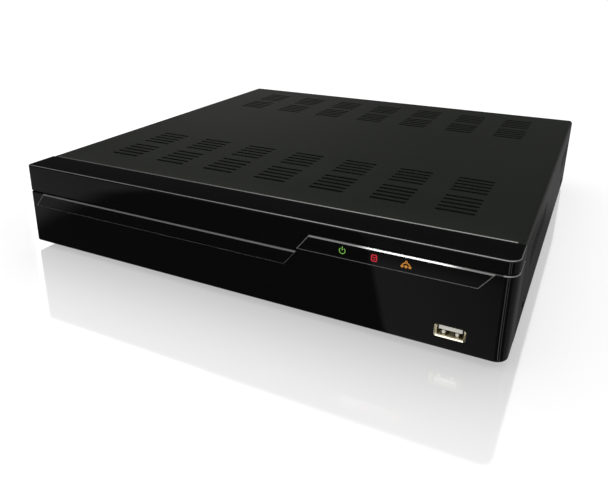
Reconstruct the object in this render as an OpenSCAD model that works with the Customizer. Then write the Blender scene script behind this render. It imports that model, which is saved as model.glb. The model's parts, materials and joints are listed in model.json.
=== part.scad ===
// Security video recorder: a low steel case with a glossy two-piece bezel, a hard drive, a fan and a
// row of sockets at the rear. Front faces -Y, up is +Z, origin on the ground under the middle.

/* [Case] */
// Width of the case
case_w = 300; // [298:1:304]
// Depth from the front of the bezel to the rear lip of the cover
case_d = 298; // [298:1:306]
// Height from the underside of the pan to the top of the cover
case_h = 52.5; // [52:0.5:56]
// Height of the rubber feet
foot_h = 4; // [3:0.5:6]
// Thickness of the sheet steel
sheet_t = 1; // [0.8:0.1:1]
// Outside bend radius of the cover
bend_r = 2.5; // [2:0.5:3]

/* [Bezel] */
// Depth of the bezel
bezel_d = 21.5; // [21:0.5:24]
// Wall thickness of the bezel mouldings
bezel_t = 2.2; // [2:0.1:2.4]
// Radius of the bezel's left upright corner
corner_left = 2.5; // [2.5:0.5:8]
// Radius of the bezel's right upright corner
corner_right = 6.5; // [5:0.5:8]
// Height of the parting line at the left end
part_low = 34.5; // [33:0.5:36]
// Height of the parting line at the right end
part_high = 45; // [44:0.5:46]
// Width of the shadow groove between the cap and the face
groove_w = 1; // [0.8:0.1:1.4]
// How far the two bands stand out of the face
band_rise = 0.5; // [0.3:0.1:0.8]
// Height of the bands
band_h = 9; // [8:0.5:9]

/* [Vents] */
// Blocks of slots across the cover
vent_blocks = 7; // [5:1:7]
// Slots in each block
vent_slots = 5; // [3:1:5]
// Distance between neighbouring blocks
vent_pitch = 36.8; // [34:0.1:38]
// Length of a slot
slot_len = 20.8; // [16:0.1:24]
// Width of a slot
slot_w = 2.5; // [1.5:0.1:3]
// Distance between neighbouring slots of a block
slot_pitch = 5.8; // [5:0.1:6]

/* [Rear] */
// How far the BNC sockets stand out behind the case
bnc_reach = 13.5; // [12:0.5:14]
// Height of the lower BNC row above the pan's underside
bnc_low = 17; // [16.5:0.5:18]
// Rise from the lower BNC row to the upper one
bnc_rise = 17; // [16:0.5:17.5]
// Blades on the fan
fan_blades = 7; // [5:1:9]

/* [Drive] */
// Width of the hard drive
drive_w = 101.6; // [101.6:0.1:101.6]
// Length of the hard drive
drive_l = 147; // [147:1:147]
// Height of the hard drive
drive_h = 26.1; // [26.1:0.1:26.1]
// Radius of the platters
platter_r = 47.5; // [46:0.5:47.5]

/* [Hidden] */
$fn = 48;

y_front = (band_rise - case_d - bnc_reach) / 2;
band_front = y_front - band_rise;
y_rear = y_front + case_d;
z_pan = foot_h;
pan_top = z_pan + sheet_t;
z_top = z_pan + case_h;
panel_out = y_rear - sheet_t;
panel_in = panel_out - sheet_t;
wall_front = y_front + 19;          // front face of the chassis's front wall
side_gap = 0.3;                     // between the cover's sides and the pan's flanges
flange_x = case_w / 2 - sheet_t - side_gap;
flange_h = 16;
flange_front = y_front + bezel_d + 0.2; // the pan is full width behind the bezel
nose_x = case_w / 2 - bezel_t - 0.3;   // half width of the pan's nose inside the bezel
wall_h = 50.2;                      // height of the chassis's front wall
lip_h = 6;                          // height of the cover's rear lip
slant = 7;                          // sideways run of the bezel's slanted lines
parting_x = 41.8;                   // where the parting line starts to climb
icon_x = [67.4, 84, 99.9];          // power, drive, network
icon_z = z_pan + 40.2;
icon_depth = 0.6;
usb_x = 123.2;
usb_z = z_pan + 9.6;
board_y = y_front + 14.4;           // front face of the front board
board_t = 1.6;
main_z = pan_top + 6;               // underside of the main board
main_top = main_z + board_t;
board_back = panel_in - 1;          // rear edge of the main board
foot_x = 122;
foot_y = [y_front + 32, y_rear - 32];
foot_r = 8;

// Rear sockets, in x from the middle of the case
fan_x = -118;
fan_z = z_pan + 26;
power_x = -84;
switch_z = z_pan + 37;
terminal_x = -60;
rear_usb_x = -40;
lan_x = -22;
hdmi_x = -3;
vga_x = 22;
rca_x = 50.2;
rca_gap = 14;
bnc_x = [71, 88, 105, 122, 139];
jack_r = 4.15;
vga_z = main_top + 6.3;
lan_w = 16;
lan_h = 13.5;
usb_stack_h = 15.6;

// Hard drive, front left
drive_x = -90;
drive_y = y_front + 32 + drive_l / 2;
drive_z = pan_top + 3;
spindle_y = -21.5;                  // from the drive's middle
pivot_x = 31;
pivot_y = 29.5;
arm_len = 52;
arm_angle = -73.3;                  // direction of the parked arms
cavity_r = 48.8;
bolt_x = 95.25 / 2;
bolt_y = [drive_l / 2 - 41.28, drive_l / 2 - 41.28 - 44.45];
screw_r = 1.45;
hole_r = 1.5;

standoff_at = [[-28, -50], [136, -50], [-28, board_back - 70], [136, board_back - 70],
    [-91, board_back - 40], [32, board_back - 20]];
side_screw_y = [y_front + 48, y_rear - 30];
side_screw_z = z_pan + 9;
lip_screw_x = [-85, 0, 135];
lip_screw_z = z_top - 3.9;

// Cable routes
ribbon_path = [[92, board_y + 13, 21], [92, board_y + 15, 21], [92, board_y + 19, 20.4],
    [91.5, -115, 18.8], [91, -105, 17.6], [90.5, -95, 17.2], [90, -85, 17], [90, -75, 16.4],
    [90, -66, 15], [90, -61, 14.6], [90, -58, 14.6]];
data_path = [[-70, drive_y + 76.5, 14], [-70, drive_y + 79, 14], [-69, drive_y + 85, 14.6],
    [-65, drive_y + 92, 16.6], [-57, drive_y + 98, 19], [-48, drive_y + 101, 20],
    [-39, drive_y + 102, 20], [-31, drive_y + 101, 19], [-25, drive_y + 98, 17.2],
    [-22, drive_y + 93, 15.6], [-22, drive_y + 89, 15.4], [-22, drive_y + 86, 15.4]];
power_path = [[-100, drive_y + 76.5, 14], [-100, drive_y + 79, 14], [-99, drive_y + 85, 15],
    [-96, drive_y + 92, 18], [-88, drive_y + 100, 22], [-76, drive_y + 106, 25],
    [-62, drive_y + 109, 26.6], [-48, drive_y + 109, 27], [-36, drive_y + 105, 26.6],
    [-27, drive_y + 97, 25.4], [-21, drive_y + 87, 23], [-18.6, drive_y + 79, 19.4],
    [-18, drive_y + 73, 17.4], [-18, drive_y + 70, 17], [-18, drive_y + 67, 17]];
fan_path = [[-102, panel_in - 20, 16], [-102, panel_in - 22, 16], [-101, panel_in - 25, 15.6],
    [-97, panel_in - 28.6, 15], [-91, panel_in - 30.6, 14.6], [-84, panel_in - 31, 14.6],
    [-76, panel_in - 31, 14.8], [-71, panel_in - 31, 15], [-68, panel_in - 31, 15]];

// ---------- helpers ----------
module block(lo, hi) {
    translate(lo) cube([hi[0] - lo[0], hi[1] - lo[1], hi[2] - lo[2]]);
}

// Cylinder along +Y from the given point
module rod_y(at, r, len) {
    translate(at) rotate([-90, 0, 0]) cylinder(r = r, h = len);
}

// Tube along +Y from the given point
// A flat outline drawn in X and Z, given a thickness along +Y
module upright(y, t) {
    translate([0, y + t, 0]) rotate([90, 0, 0]) linear_extrude(t) children();
}

// Rectangle with its two upper corners rounded, centred on X, standing on zero
module arched(w, h, r) {
    union() {
        translate([-w / 2, 0]) square([w, h - r]);
        translate([-w / 2 + r, 0]) square([w - 2 * r, h]);
        for (side = [-1, 1]) translate([side * (w / 2 - r), h - r]) circle(r);
    }
}

// Rectangle with four rounded corners, centred
module rounded(w, h, r) {
    union() {
        square([w - 2 * r, h], center = true);
        square([w, h - 2 * r], center = true);
        for (sx = [-1, 1], sy = [-1, 1]) translate([sx * (w / 2 - r), sy * (h / 2 - r)]) circle(r);
    }
}

// Sweep of a flat section along a route; right lies level and up stays near +Z
function unit(v) = v / norm(v);
function heading(p, i) = unit(p[min(i + 1, len(p) - 1)] - p[max(i - 1, 0)]);
function level(t) = unit(cross(t, [0, 0, 1]));
function ring(p, i, sec) = [for (s = sec) p[i] + s[0] * level(heading(p, i))
    + s[1] * cross(level(heading(p, i)), heading(p, i))];
module sweep(path, sec) {
    n = len(sec);
    last = len(path) - 1;
    rings = [for (i = [0:last]) each ring(path, i, sec)];
    walls = [for (i = [0:last - 1], j = [0:n - 1]) let (k = (j + 1) % n)
        each [[i * n + j, i * n + k, (i + 1) * n + k], [i * n + j, (i + 1) * n + k, (i + 1) * n + j]]];
    caps = [[for (j = [n - 1:-1:0]) j], [for (j = [0:n - 1]) last * n + j]];
    polyhedron(rings, concat(walls, caps), convexity = 4);
}
function round_section(r) = [for (a = [0:45:315]) [r * cos(a), r * sin(a)]];
function flat_section(w, t) = [[-w / 2, -t / 2], [w / 2, -t / 2], [w / 2, t / 2], [-w / 2, t / 2]];

// ---------- case ----------
module drive_frame() {
    translate([drive_x, drive_y, drive_z]) children();
}

module drive_bolts() {
    for (sx = [-1, 1], y = bolt_y) translate([sx * bolt_x, y, 0]) children();
}

module rear_cutouts() {
    y = panel_in - 1;
    depth = sheet_t + 2;
    rod_y([fan_x, y, fan_z], 18.6, depth);
    for (sx = [-1, 1], sz = [-1, 1]) rod_y([fan_x + sx * 16, y, fan_z + sz * 16], 1.8, depth);
    block([power_x - 9.7, y, switch_z - 6.7], [power_x + 9.7, y + depth, switch_z + 6.7]);
    rod_y([power_x, y, main_top + 6.5], 5.2, depth);
    block([terminal_x - 11, y, main_top - 0.2], [terminal_x + 11, y + depth, main_top + 9.2]);
    block([rear_usb_x - 7.6, y, main_top - 0.2], [rear_usb_x + 7.6, y + depth, main_top + 16]);
    block([lan_x - 8.3, y, main_top - 0.2], [lan_x + 8.3, y + depth, main_top + 13.8]);
    block([hdmi_x - 7.8, y, main_top - 0.2], [hdmi_x + 7.8, y + depth, main_top + 6.4]);
    upright(y, depth) translate([vga_x, vga_z]) rounded(17.6, 9.6, 2);
    for (sx = [-1, 1]) rod_y([vga_x + sx * 12.5, y, vga_z], 2.6, depth);
    for (sx = [-1, 1], row = [0, 1])
        rod_y([rca_x + sx * rca_gap / 2, y, main_top + 7 + row * 14], 5.2, depth);
    for (x = bnc_x, row = [0, 1]) rod_y([x, y, z_pan + bnc_low + row * bnc_rise], 6.4, depth);
    for (x = lip_screw_x) rod_y([x, y, lip_screw_z], hole_r, depth);
}

module base_chassis() {
    color([0.1, 0.1, 0.105]) difference() {
        union() {
            block([-nose_x, wall_front, z_pan], [nose_x, panel_out, pan_top]);
            block([-flange_x, flange_front, z_pan], [flange_x, panel_out, pan_top]);
            block([-nose_x, wall_front, z_pan], [nose_x, wall_front + sheet_t, z_pan + wall_h]);
            block([-nose_x + 4, wall_front, z_pan + wall_h - sheet_t],
                [nose_x - 4, wall_front + 12, z_pan + wall_h]);
            block([-flange_x, panel_in, z_pan], [flange_x, panel_out, z_top - 3]);
            block([-flange_x + 4, panel_in, z_pan], [flange_x - 4, panel_out, z_top - 1.2 * sheet_t]);
            block([-flange_x + 4, panel_in - 9, z_top - 2.2 * sheet_t],
                [flange_x - 4, panel_out, z_top - 1.2 * sheet_t]);
            for (sx = [-1, 1]) translate([sx * (flange_x - sheet_t / 2), 0, 0])
                block([-sheet_t / 2, flange_front, z_pan], [sheet_t / 2, panel_out, z_pan + flange_h]);
            drive_frame() drive_bolts() translate([0, 0, -3.5]) cylinder(r = 5.6, h = 3.5);
        }
        drive_frame() drive_bolts() {
            translate([0, 0, -6]) cylinder(r = 4.4, h = 4.8);
            translate([0, 0, -2]) cylinder(r = hole_r + 0.2, h = 4);
        }
        for (p = standoff_at) translate([p[0], p[1], z_pan - 1]) cylinder(r = hole_r, h = 4);
        for (x = [-foot_x, foot_x], y = foot_y) translate([x, y, z_pan - 1]) cylinder(r = 2, h = 4);
        for (y = side_screw_y) rod_x(y);
        for (x = [40, 92], i = [0:6])
            translate([x, wall_front + 42 + i * 6, z_pan - 1]) cube([38, 2.6, 4]);
        translate([84, wall_front - 1, 17]) cube([16, 3, 8]);
        rear_cutouts();
    }
}

// Holes for the cover's side screws, through both flanges
module rod_x(y) {
    translate([-case_w / 2 - 1, y, side_screw_z]) rotate([0, 90, 0])
        cylinder(r = hole_r, h = case_w + 2);
}

module vent_block() {
    for (i = [0:vent_slots - 1]) translate([0, (i - (vent_slots - 1) / 2) * slot_pitch])
        square([slot_len, slot_w], center = true);
}

vent_rows = [y_front + 59.5, y_front + 93.7, y_front + 229.5, y_front + 263.3];
side_vents = [[y_front + 52, 13], [y_front + 228, 11]];

module top_cover() {
    cover_y = y_front + bezel_d;
    color([0.12, 0.125, 0.12]) difference() {
        union() {
            difference() {
                upright(cover_y, y_rear - cover_y) translate([0, z_pan + 0.4])
                    arched(case_w, case_h - 0.4, bend_r);
                upright(cover_y - 1, y_rear - cover_y + 2) translate([0, z_pan - 1])
                    arched(case_w - 2 * sheet_t, case_h + 1 - sheet_t, bend_r - sheet_t);
            }
            block([-case_w / 2 + 4.5, cover_y, z_top - 2.2],
                [case_w / 2 - 4.5, cover_y + 0.9, z_top - 0.5]);
            block([-case_w / 2 + 1, panel_out, z_top - lip_h], [case_w / 2 - 1, y_rear, z_top - 0.5]);
        }
        translate([0, 0, z_top - 2]) linear_extrude(4)
            for (y = vent_rows, i = [0:vent_blocks - 1])
                translate([(i - (vent_blocks - 1) / 2) * vent_pitch, y]) vent_block();
        translate([-case_w / 2 - 1, 0, z_pan + 33.5]) rotate([90, 0, 90]) linear_extrude(case_w + 2)
            for (group = side_vents, i = [0:group[1] - 1])
                translate([group[0] + i * slot_pitch, 0]) square([slot_w, 13], center = true);
        for (y = side_screw_y) rod_x(y);
        for (x = lip_screw_x) rod_y([x, panel_out - 1, lip_screw_z], hole_r, 4);
    }
}

// ---------- bezel ----------
// Plan of the bezel, drawn in by inset: round front corners, open to the rear
module bezel_plan(inset, reach) {
    half = case_w / 2 - inset;
    front = y_front + inset;
    left = max(corner_left - inset, 0.2);
    right = max(corner_right - inset, 0.2);
    deep = max(left, right);
    union() {
        translate([-half, front + deep]) square([2 * half, reach - deep]);
        translate([-half + left, front]) square([2 * half - left - right, reach]);
        translate([-half, front + left]) square([left, deep]);
        translate([-half + left, front + left]) circle(left);
        translate([half - right, front + right]) circle(right);
    }
}

// Everything above the parting line, raised by the given amount
module above_parting(rise) {
    low = z_pan + part_low + rise;
    high = z_pan + part_high + rise;
    upright(y_front - 5, bezel_d + 20) polygon([[-case_w, low], [parting_x, low],
        [parting_x + slant, high], [case_w, high], [case_w, z_top + 20], [-case_w, z_top + 20]]);
}

module bezel_cap() {
    color([0.02, 0.02, 0.022]) difference() {
        translate([0, 0, z_pan + 30]) linear_extrude(case_h - 30) bezel_plan(0, bezel_d);
        translate([0, 0, z_pan + 20]) linear_extrude(case_h - 20 - bezel_t)
            bezel_plan(bezel_t, bezel_d);
        difference() {
            block([-case_w, y_front - 10, z_pan], [case_w, y_front + bezel_d + 10, z_top + 10]);
            above_parting(groove_w);
        }
    }
}

// Raised parallelogram from x0 to x1 along its top edge at height z
module band(x0, x1, z) {
    upright(band_front, 2 * band_rise) polygon([[x0 - slant, z - band_h], [x1 - slant, z - band_h],
        [x1, z], [x0, z]]);
}

module bezel_face() {
    color([0.015, 0.015, 0.017]) difference() {
        union() {
            difference() {
                union() {
                    band(-138.4, parting_x, z_pan + part_low);
                    band(parting_x + slant, 140.5, z_pan + part_high);
                    translate([0, 0, z_pan]) linear_extrude(part_high) bezel_plan(0, bezel_d);
                }
                translate([0, 0, z_pan + bezel_t]) linear_extrude(case_h)
                    bezel_plan(bezel_t, bezel_d);
                block([-case_w / 2 + bezel_t, wall_front - 0.2, z_pan - 1],
                    [case_w / 2 - bezel_t, wall_front + bezel_d, z_pan + bezel_t + 1]);
                above_parting(0);
            }
            // inner skirt that backs the shadow groove
            difference() {
                translate([0, 0, z_pan + part_low - 4]) linear_extrude(case_h - bezel_t - part_low + 3.8)
                    bezel_plan(bezel_t, bezel_d - bezel_t - 3);
                translate([0, 0, z_pan]) linear_extrude(case_h) bezel_plan(2 * bezel_t, bezel_d);
            }
        }
        face_icons();
        upright(y_front - 1, 10) translate([usb_x, usb_z]) rounded(15.6, 7.2, 0.8);
        for (x = icon_x) rod_y([x, y_front + 1, icon_z], 2.05, 6);
        rod_y([10, y_front + 0.8, z_pan + 20], 3.2, 6);
    }
}

// ---------- icons ----------
module power_shape() {
    difference() {
        circle(2.1);
        circle(1.6);
        translate([-0.75, 0.6]) square([1.5, 2]);
    }
    translate([-0.25, 0.4]) square([0.5, 2.2]);
}

module drive_shape() {
    difference() {
        rounded(3.1, 4.2, 0.9);
        rounded(2.2, 3.3, 0.6);
    }
    translate([-1.1, 0.35]) square([2.2, 0.45]);
    translate([0, -0.75]) circle(0.4);
}

module network_shape() {
    translate([-0.8, 0.7]) square([1.6, 1.4]);
    for (side = [-1, 1]) translate([side * 1.8 - 0.75, -2]) square([1.5, 1.4]);
    translate([-0.2, -0.3]) square([0.4, 1.01]);
    translate([-2, -0.3]) square([4, 0.4]);
    for (side = [-1, 1]) translate([side * 1.8 - 0.2, -0.61]) square([0.4, 0.7]);
}

module face_icons() {
    upright(band_front - 1, 1 + icon_depth) {
        translate([icon_x[0], icon_z]) power_shape();
        translate([icon_x[1], icon_z]) drive_shape();
        translate([icon_x[2], icon_z]) network_shape();
    }
}

module icon_at(i) {
    upright(band_front, icon_depth) translate([icon_x[i], icon_z]) children();
}

module power_icon() {
    color([0.3, 0.95, 0.3]) icon_at(0) power_shape();
}

module drive_icon() {
    color([0.95, 0.15, 0.15]) icon_at(1) drive_shape();
}

module network_icon() {
    color([0.95, 0.6, 0.1]) icon_at(2) network_shape();
}

// ---------- front board ----------
module light_pipes() {
    color([0.85, 0.88, 0.9, 0.6]) for (x = icon_x) {
        rod_y([x, y_front + 1, icon_z], 2, 7);
        rod_y([x, y_front + 8, icon_z], 2.6, 3);
    }
}

module status_leds() {
    color([0.95, 0.95, 0.85]) for (x = icon_x) {
        rod_y([x, y_front + 11.2, icon_z], 1.5, 2.2);
        rod_y([x, y_front + 13.4, icon_z], 1.9, 1);
    }
}

module ir_receiver() {
    color([0.08, 0.05, 0.06]) {
        rod_y([10, y_front + 3, z_pan + 20], 2.6, 6.4);
        block([6.8, y_front + 9.4, z_pan + 16.4], [13.2, board_y, z_pan + 23.6]);
    }
}

module front_board() {
    color([0.05, 0.3, 0.14]) block([-2, board_y, z_pan + 4], [142, board_y + board_t, z_pan + 46]);
    color([0.9, 0.9, 0.85]) block([84, board_y + board_t, 18], [100, board_y + 13, 24]);
}

module front_usb_shell() {
    color([0.86, 0.82, 0.68]) difference() {
        union() {
            upright(y_front + 0.3, 0.5) translate([usb_x, usb_z]) rounded(15, 6.6, 0.7);
            upright(y_front + 0.5, board_y - y_front - 0.5) translate([usb_x, usb_z])
                rounded(13.1, 5.7, 0.6);
        }
        upright(y_front, board_y - y_front - 0.5) translate([usb_x, usb_z])
            rounded(12.5, 5.1, 0.4);
    }
}

module front_usb_tongue() {
    color([0.93, 0.93, 0.9]) block([usb_x - 5.6, y_front + 2, usb_z + 0.1],
        [usb_x + 5.6, board_y - 0.5, usb_z + 2.1]);
}

// ---------- main board ----------
module main_board() {
    color([0.05, 0.32, 0.16]) difference() {
        union() {
            block([-36, -62, main_z], [145, board_back, main_top]);
            block([-96, board_back - 44, main_z], [-36, board_back, main_top]);
        }
        for (p = standoff_at) translate([p[0], p[1], main_z - 1]) cylinder(r = hole_r + 0.1, h = 4);
    }
    // ribbon socket, drive data socket, drive power socket, fan header
    color([0.9, 0.9, 0.85]) block([81, -58, main_top], [99, -50, 16.6]);
    color([0.1, 0.1, 0.1]) block([-28, drive_y + 78, main_top], [-16, drive_y + 86, 18]);
    color([0.9, 0.9, 0.85]) block([-24, drive_y + 60, main_top], [-12, drive_y + 67, 22]);
    color([0.9, 0.9, 0.85]) block([-68, panel_in - 34, main_top], [-60, panel_in - 28, 19]);
}

module heat_sink() {
    color([0.75, 0.75, 0.77]) {
        block([22, -22, main_top + 2.4], [60, 16, main_top + 5]);
        for (i = [0:9]) translate([22 + i * 4.06, -22, main_top + 5]) cube([1.4, 38, 11]);
    }
}

module processor() {
    color([0.1, 0.1, 0.11]) block([30, -14, main_top], [52, 8, main_top + 2.4]);
}

module chips() {
    color([0.09, 0.09, 0.1]) {
        for (x = [-10, 68], y = [-24, -4]) translate([x, y, main_top]) cube([14, 10, 1.2]);
        for (x = [74, 92, 110]) translate([x, board_back - 62, main_top]) cube([12, 12, 1.4]);
        translate([108, -20, main_top]) cube([14, 14, 1.6]);
        translate([-12, board_back - 56, main_top]) cube([10, 7, 1.8]);
    }
}

module capacitors() {
    color([0.12, 0.13, 0.2]) for (p = [[-80, -8], [-70, -8], [4, -36], [14, -36], [4, 0], [130, -20]])
        translate([p[0], board_back - 30 + p[1], main_top]) {
            cylinder(r = 4, h = 11);
            cylinder(r = 4.2, h = 1);
        }
}

module inductors() {
    color([0.3, 0.3, 0.32]) for (p = [[-50, -38], [-26, -46], [110, -100]])
        translate([p[0], board_back + p[1], main_top]) difference() {
            cube([10, 10, 4.5]);
            translate([5, 5, 3.9]) cylinder(r = 3.2, h = 2);
        }
}

module coin_cell_holder() {
    color([0.08, 0.08, 0.08]) translate([112, -40, main_top]) difference() {
        union() {
            cylinder(r = 12, h = 4.6);
            translate([-3.5, -14, 0]) cube([7, 28, 3]);
        }
        translate([0, 0, 1]) cylinder(r = 10.1, h = 6);
    }
}

module coin_cell() {
    color([0.8, 0.8, 0.82]) translate([112, -40, main_top + 1]) {
        cylinder(r = 10, h = 2.4);
        translate([0, 0, 2.4]) cylinder(r = 9.2, h = 0.8);
    }
}

// ---------- rear sockets ----------
module bnc_each() {
    for (x = bnc_x, row = [0, 1]) translate([x, panel_in, z_pan + bnc_low + row * bnc_rise])
        children();
}

module bnc_housing() {
    color([0.08, 0.08, 0.09]) difference() {
        for (x = bnc_x) block([x - 7.6, panel_in - 17, main_top],
            [x + 7.6, panel_in, z_pan + bnc_low + bnc_rise + 8]);
        bnc_each() rod_y([0, -16, 0], 4.9, 17);
    }
}

module bnc_barrels() {
    reach = bnc_reach + 2 * sheet_t;
    color([0.78, 0.78, 0.76]) bnc_each() difference() {
        union() {
            rod_y([0, -12, 0], 4.85, 12 + reach);
            rod_y([0, 0, 0], 6.2, 2.6);
            translate([-5.7, reach - 7, -1]) cube([11.4, 2, 2]);
        }
        rod_y([0, -13, 0], 4.1, 14 + reach);
    }
}

module bnc_insulators() {
    color([0.93, 0.93, 0.9]) bnc_each() difference() {
        union() {
            rod_y([0, -12, 0], 4.1, 16);
            rod_y([0, 4, 0], 2.4, bnc_reach - 6);
        }
        rod_y([0, -13, 0], 1.1, 40);
    }
}

module bnc_contacts() {
    color([0.9, 0.75, 0.35]) bnc_each() difference() {
        rod_y([0, -12, 0], 1.1, bnc_reach + 5);
        rod_y([0, bnc_reach - 12, 0], 0.5, 12);
    }
}

module rca_each() {
    for (sx = [-1, 1], row = [0, 1])
        translate([rca_x + sx * rca_gap / 2, panel_in, main_top + 7 + row * 14]) children();
}

module rca_housing() {
    color([0.08, 0.08, 0.09]) difference() {
        block([rca_x - 12, panel_in - 13, main_top], [rca_x + 12, panel_in, main_top + 28]);
        rca_each() rod_y([0, -11, 0], 4.5, 12);
    }
}

module rca_barrels() {
    color([0.82, 0.8, 0.74]) rca_each() difference() {
        union() {
            rod_y([0, -9, 0], 4.45, 9);
            rod_y([0, 0, 0], jack_r, 11.4);
        }
        rod_y([0, -10, 0], 3.5, 30);
    }
}

module rca_inserts() {
    color([0.85, 0.85, 0.82]) rca_each() difference() {
        rod_y([0, -9, 0], 3.5, 16);
        rod_y([0, -5, 0], 1.65, 16);
    }
}

module d_shape(w, h) {
    cut = 1.1;
    polygon([[-w / 2, h / 2], [w / 2, h / 2], [w / 2 - cut, -h / 2], [-w / 2 + cut, -h / 2]]);
}

module vga_shell() {
    color([0.8, 0.8, 0.8]) difference() {
        union() {
            upright(panel_in - 0.8, 0.8) translate([vga_x, vga_z]) square([31, 12.4], center = true);
            upright(panel_in, 6) translate([vga_x, vga_z]) d_shape(16.4, 8.4);
        }
        upright(panel_in - 2, 10) translate([vga_x, vga_z]) d_shape(15.6, 7.6);
        for (sx = [-1, 1]) rod_y([vga_x + sx * 12.5, panel_in - 2, vga_z], 1.5, 4);
    }
}

module vga_insert() {
    color([0.1, 0.15, 0.45]) difference() {
        union() {
            block([vga_x - 15.4, panel_in - 12, main_top], [vga_x + 15.4, panel_in - 0.8, vga_z + 6]);
            upright(panel_in - 0.8, 5.4) translate([vga_x, vga_z]) d_shape(15.6, 7.6);
        }
        for (row = [-1, 0, 1], i = [0:4])
            rod_y([vga_x + (i - 2) * 2.3 + row * 0.6, panel_in - 1, vga_z + row * 2], 0.5, 8);
        for (sx = [-1, 1]) rod_y([vga_x + sx * 12.5, panel_in - 8, vga_z], 1.5, 10);
    }
}

module vga_nuts() {
    color([0.82, 0.82, 0.82]) for (sx = [-1, 1]) translate([vga_x + sx * 12.5, panel_in, vga_z])
        difference() {
            union() {
                rotate([-90, 0, 0]) cylinder(r = 2.4, h = 5.5, $fn = 6);
                rod_y([0, -7, 0], 1.5, 7);
            }
            rod_y([0, 0.5, 0], 1.3, 8);
        }
}

module hdmi_shape(w, h, cut) {
    polygon([[-w / 2, h / 2], [w / 2, h / 2], [w / 2, -h / 2 + cut], [w / 2 - cut, -h / 2],
        [-w / 2 + cut, -h / 2], [-w / 2, -h / 2 + cut]]);
}

module hdmi_port() {
    z = main_top + 3.1;
    color([0.78, 0.78, 0.79]) difference() {
        upright(panel_in - 11.5, 13.2) translate([hdmi_x, z]) hdmi_shape(15, 6, 1.6);
        upright(panel_in - 8, 12) translate([hdmi_x, z]) hdmi_shape(14, 4.8, 1.4);
    }
    color([0.1, 0.1, 0.1]) block([hdmi_x - 5.6, panel_in - 8, z - 0.3],
        [hdmi_x + 5.6, panel_in + 1, z + 0.7]);
}

module lan_port() {
    lo = panel_in - 19.3;
    color([0.75, 0.75, 0.76]) difference() {
        block([lan_x - lan_w / 2, lo, main_top], [lan_x + lan_w / 2, panel_in + 1.6, main_top + lan_h]);
        block([lan_x - 5.9, lo + 6, main_top + 4], [lan_x + 5.9, panel_in + 5, main_top + 10.8]);
        block([lan_x - 3.1, lo + 6, main_top + 1.6], [lan_x + 3.1, panel_in + 5, main_top + 4.1]);
    }
}

module lan_contacts() {
    color([0.88, 0.72, 0.3]) for (i = [0:7])
        translate([lan_x - 3.7 + i * 1.02, panel_in - 13.3, main_top + 9.7]) cube([0.4, 11, 1.1]);
}

module rear_usb_shell() {
    lo = panel_in - 16;
    color([0.8, 0.8, 0.8]) difference() {
        block([rear_usb_x - 7.2, lo, main_top], [rear_usb_x + 7.2, panel_in + 1.6, main_top + usb_stack_h]);
        for (row = [0, 1])
            block([rear_usb_x - 6.3, lo + 4, main_top + 1.6 + row * 7.2],
                [rear_usb_x + 6.3, panel_in + 5, main_top + 6.8 + row * 7.2]);
    }
}

module rear_usb_tongues() {
    color([0.93, 0.93, 0.9]) for (row = [0, 1])
        block([rear_usb_x - 5.6, panel_in - 12, main_top + 4.3 + row * 7.2],
            [rear_usb_x + 5.6, panel_in, main_top + 6.2 + row * 7.2]);
}

module terminal_header() {
    color([0.1, 0.45, 0.2]) difference() {
        block([terminal_x - 10.6, panel_in - 10, main_top], [terminal_x + 10.6, panel_in, main_top + 8.6]);
        block([terminal_x - 9.9, panel_in - 7, main_top + 0.8],
            [terminal_x + 9.9, panel_in + 2, main_top + 7.8]);
    }
    color([0.85, 0.85, 0.82]) for (i = [-2:2])
        translate([terminal_x + i * 3.81 - 0.5, panel_in - 7, main_top + 3.8]) cube([1, 6, 1]);
}

module terminal_plug() {
    color([0.12, 0.5, 0.24]) difference() {
        block([terminal_x - 9.6, panel_in - 6, main_top + 1.1],
            [terminal_x + 9.6, panel_out + 7, main_top + 7.5]);
        for (i = [-2:2]) {
            block([terminal_x + i * 3.81 - 1, panel_in - 7, main_top + 3.3],
                [terminal_x + i * 3.81 + 1, panel_in + 1, main_top + 5.3]);
            block([terminal_x + i * 3.81 - 1.3, panel_out + 1, main_top + 2.2],
                [terminal_x + i * 3.81 + 1.3, panel_out + 8, main_top + 5]);
            translate([terminal_x + i * 3.81, panel_out + 4, main_top + 6]) cylinder(r = 1.3, h = 3);
        }
    }
}

module dc_jack() {
    color([0.07, 0.07, 0.07]) difference() {
        union() {
            block([power_x - 5, panel_in - 13, main_top], [power_x + 5, panel_in, main_top + 11.5]);
            rod_y([power_x, panel_in, main_top + 6.5], 5, 2.4);
        }
        rod_y([power_x, panel_in - 8, main_top + 6.5], 3.2, 12);
    }
    color([0.8, 0.8, 0.78]) rod_y([power_x, panel_in - 8, main_top + 6.5], 1.05, 8.6);
}

module switch_frame() {
    color([0.06, 0.06, 0.06]) difference() {
        union() {
            block([power_x - 10.5, panel_out, switch_z - 7.5],
                [power_x + 10.5, panel_out + 1.8, switch_z + 7.5]);
            block([power_x - 9.5, panel_in - 11, switch_z - 6.5],
                [power_x + 9.5, panel_out, switch_z + 6.5]);
        }
        block([power_x - 8.2, panel_in - 8, switch_z - 5.2],
            [power_x + 8.2, panel_out + 3, switch_z + 5.2]);
        translate([power_x, panel_in - 2, switch_z - 6]) cylinder(r = 1.05, h = 12);
    }
}

// Two faces that meet at a shallow angle; the right one is pressed in at rest
module switch_rocker() {
    tilt = 8;
    color([0.05, 0.05, 0.05]) translate([power_x, panel_in - 2, switch_z]) rotate([0, 0, -tilt]) {
        linear_extrude(9.6, center = true)
            polygon([[-7.4, 1], [-7.4, 4.6], [0, 3.4], [7.4, 4.6], [7.4, 1], [2, -2.4], [-2, -2.4]]);
        cylinder(r = 1, h = 11.6, center = true);
    }
}

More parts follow.
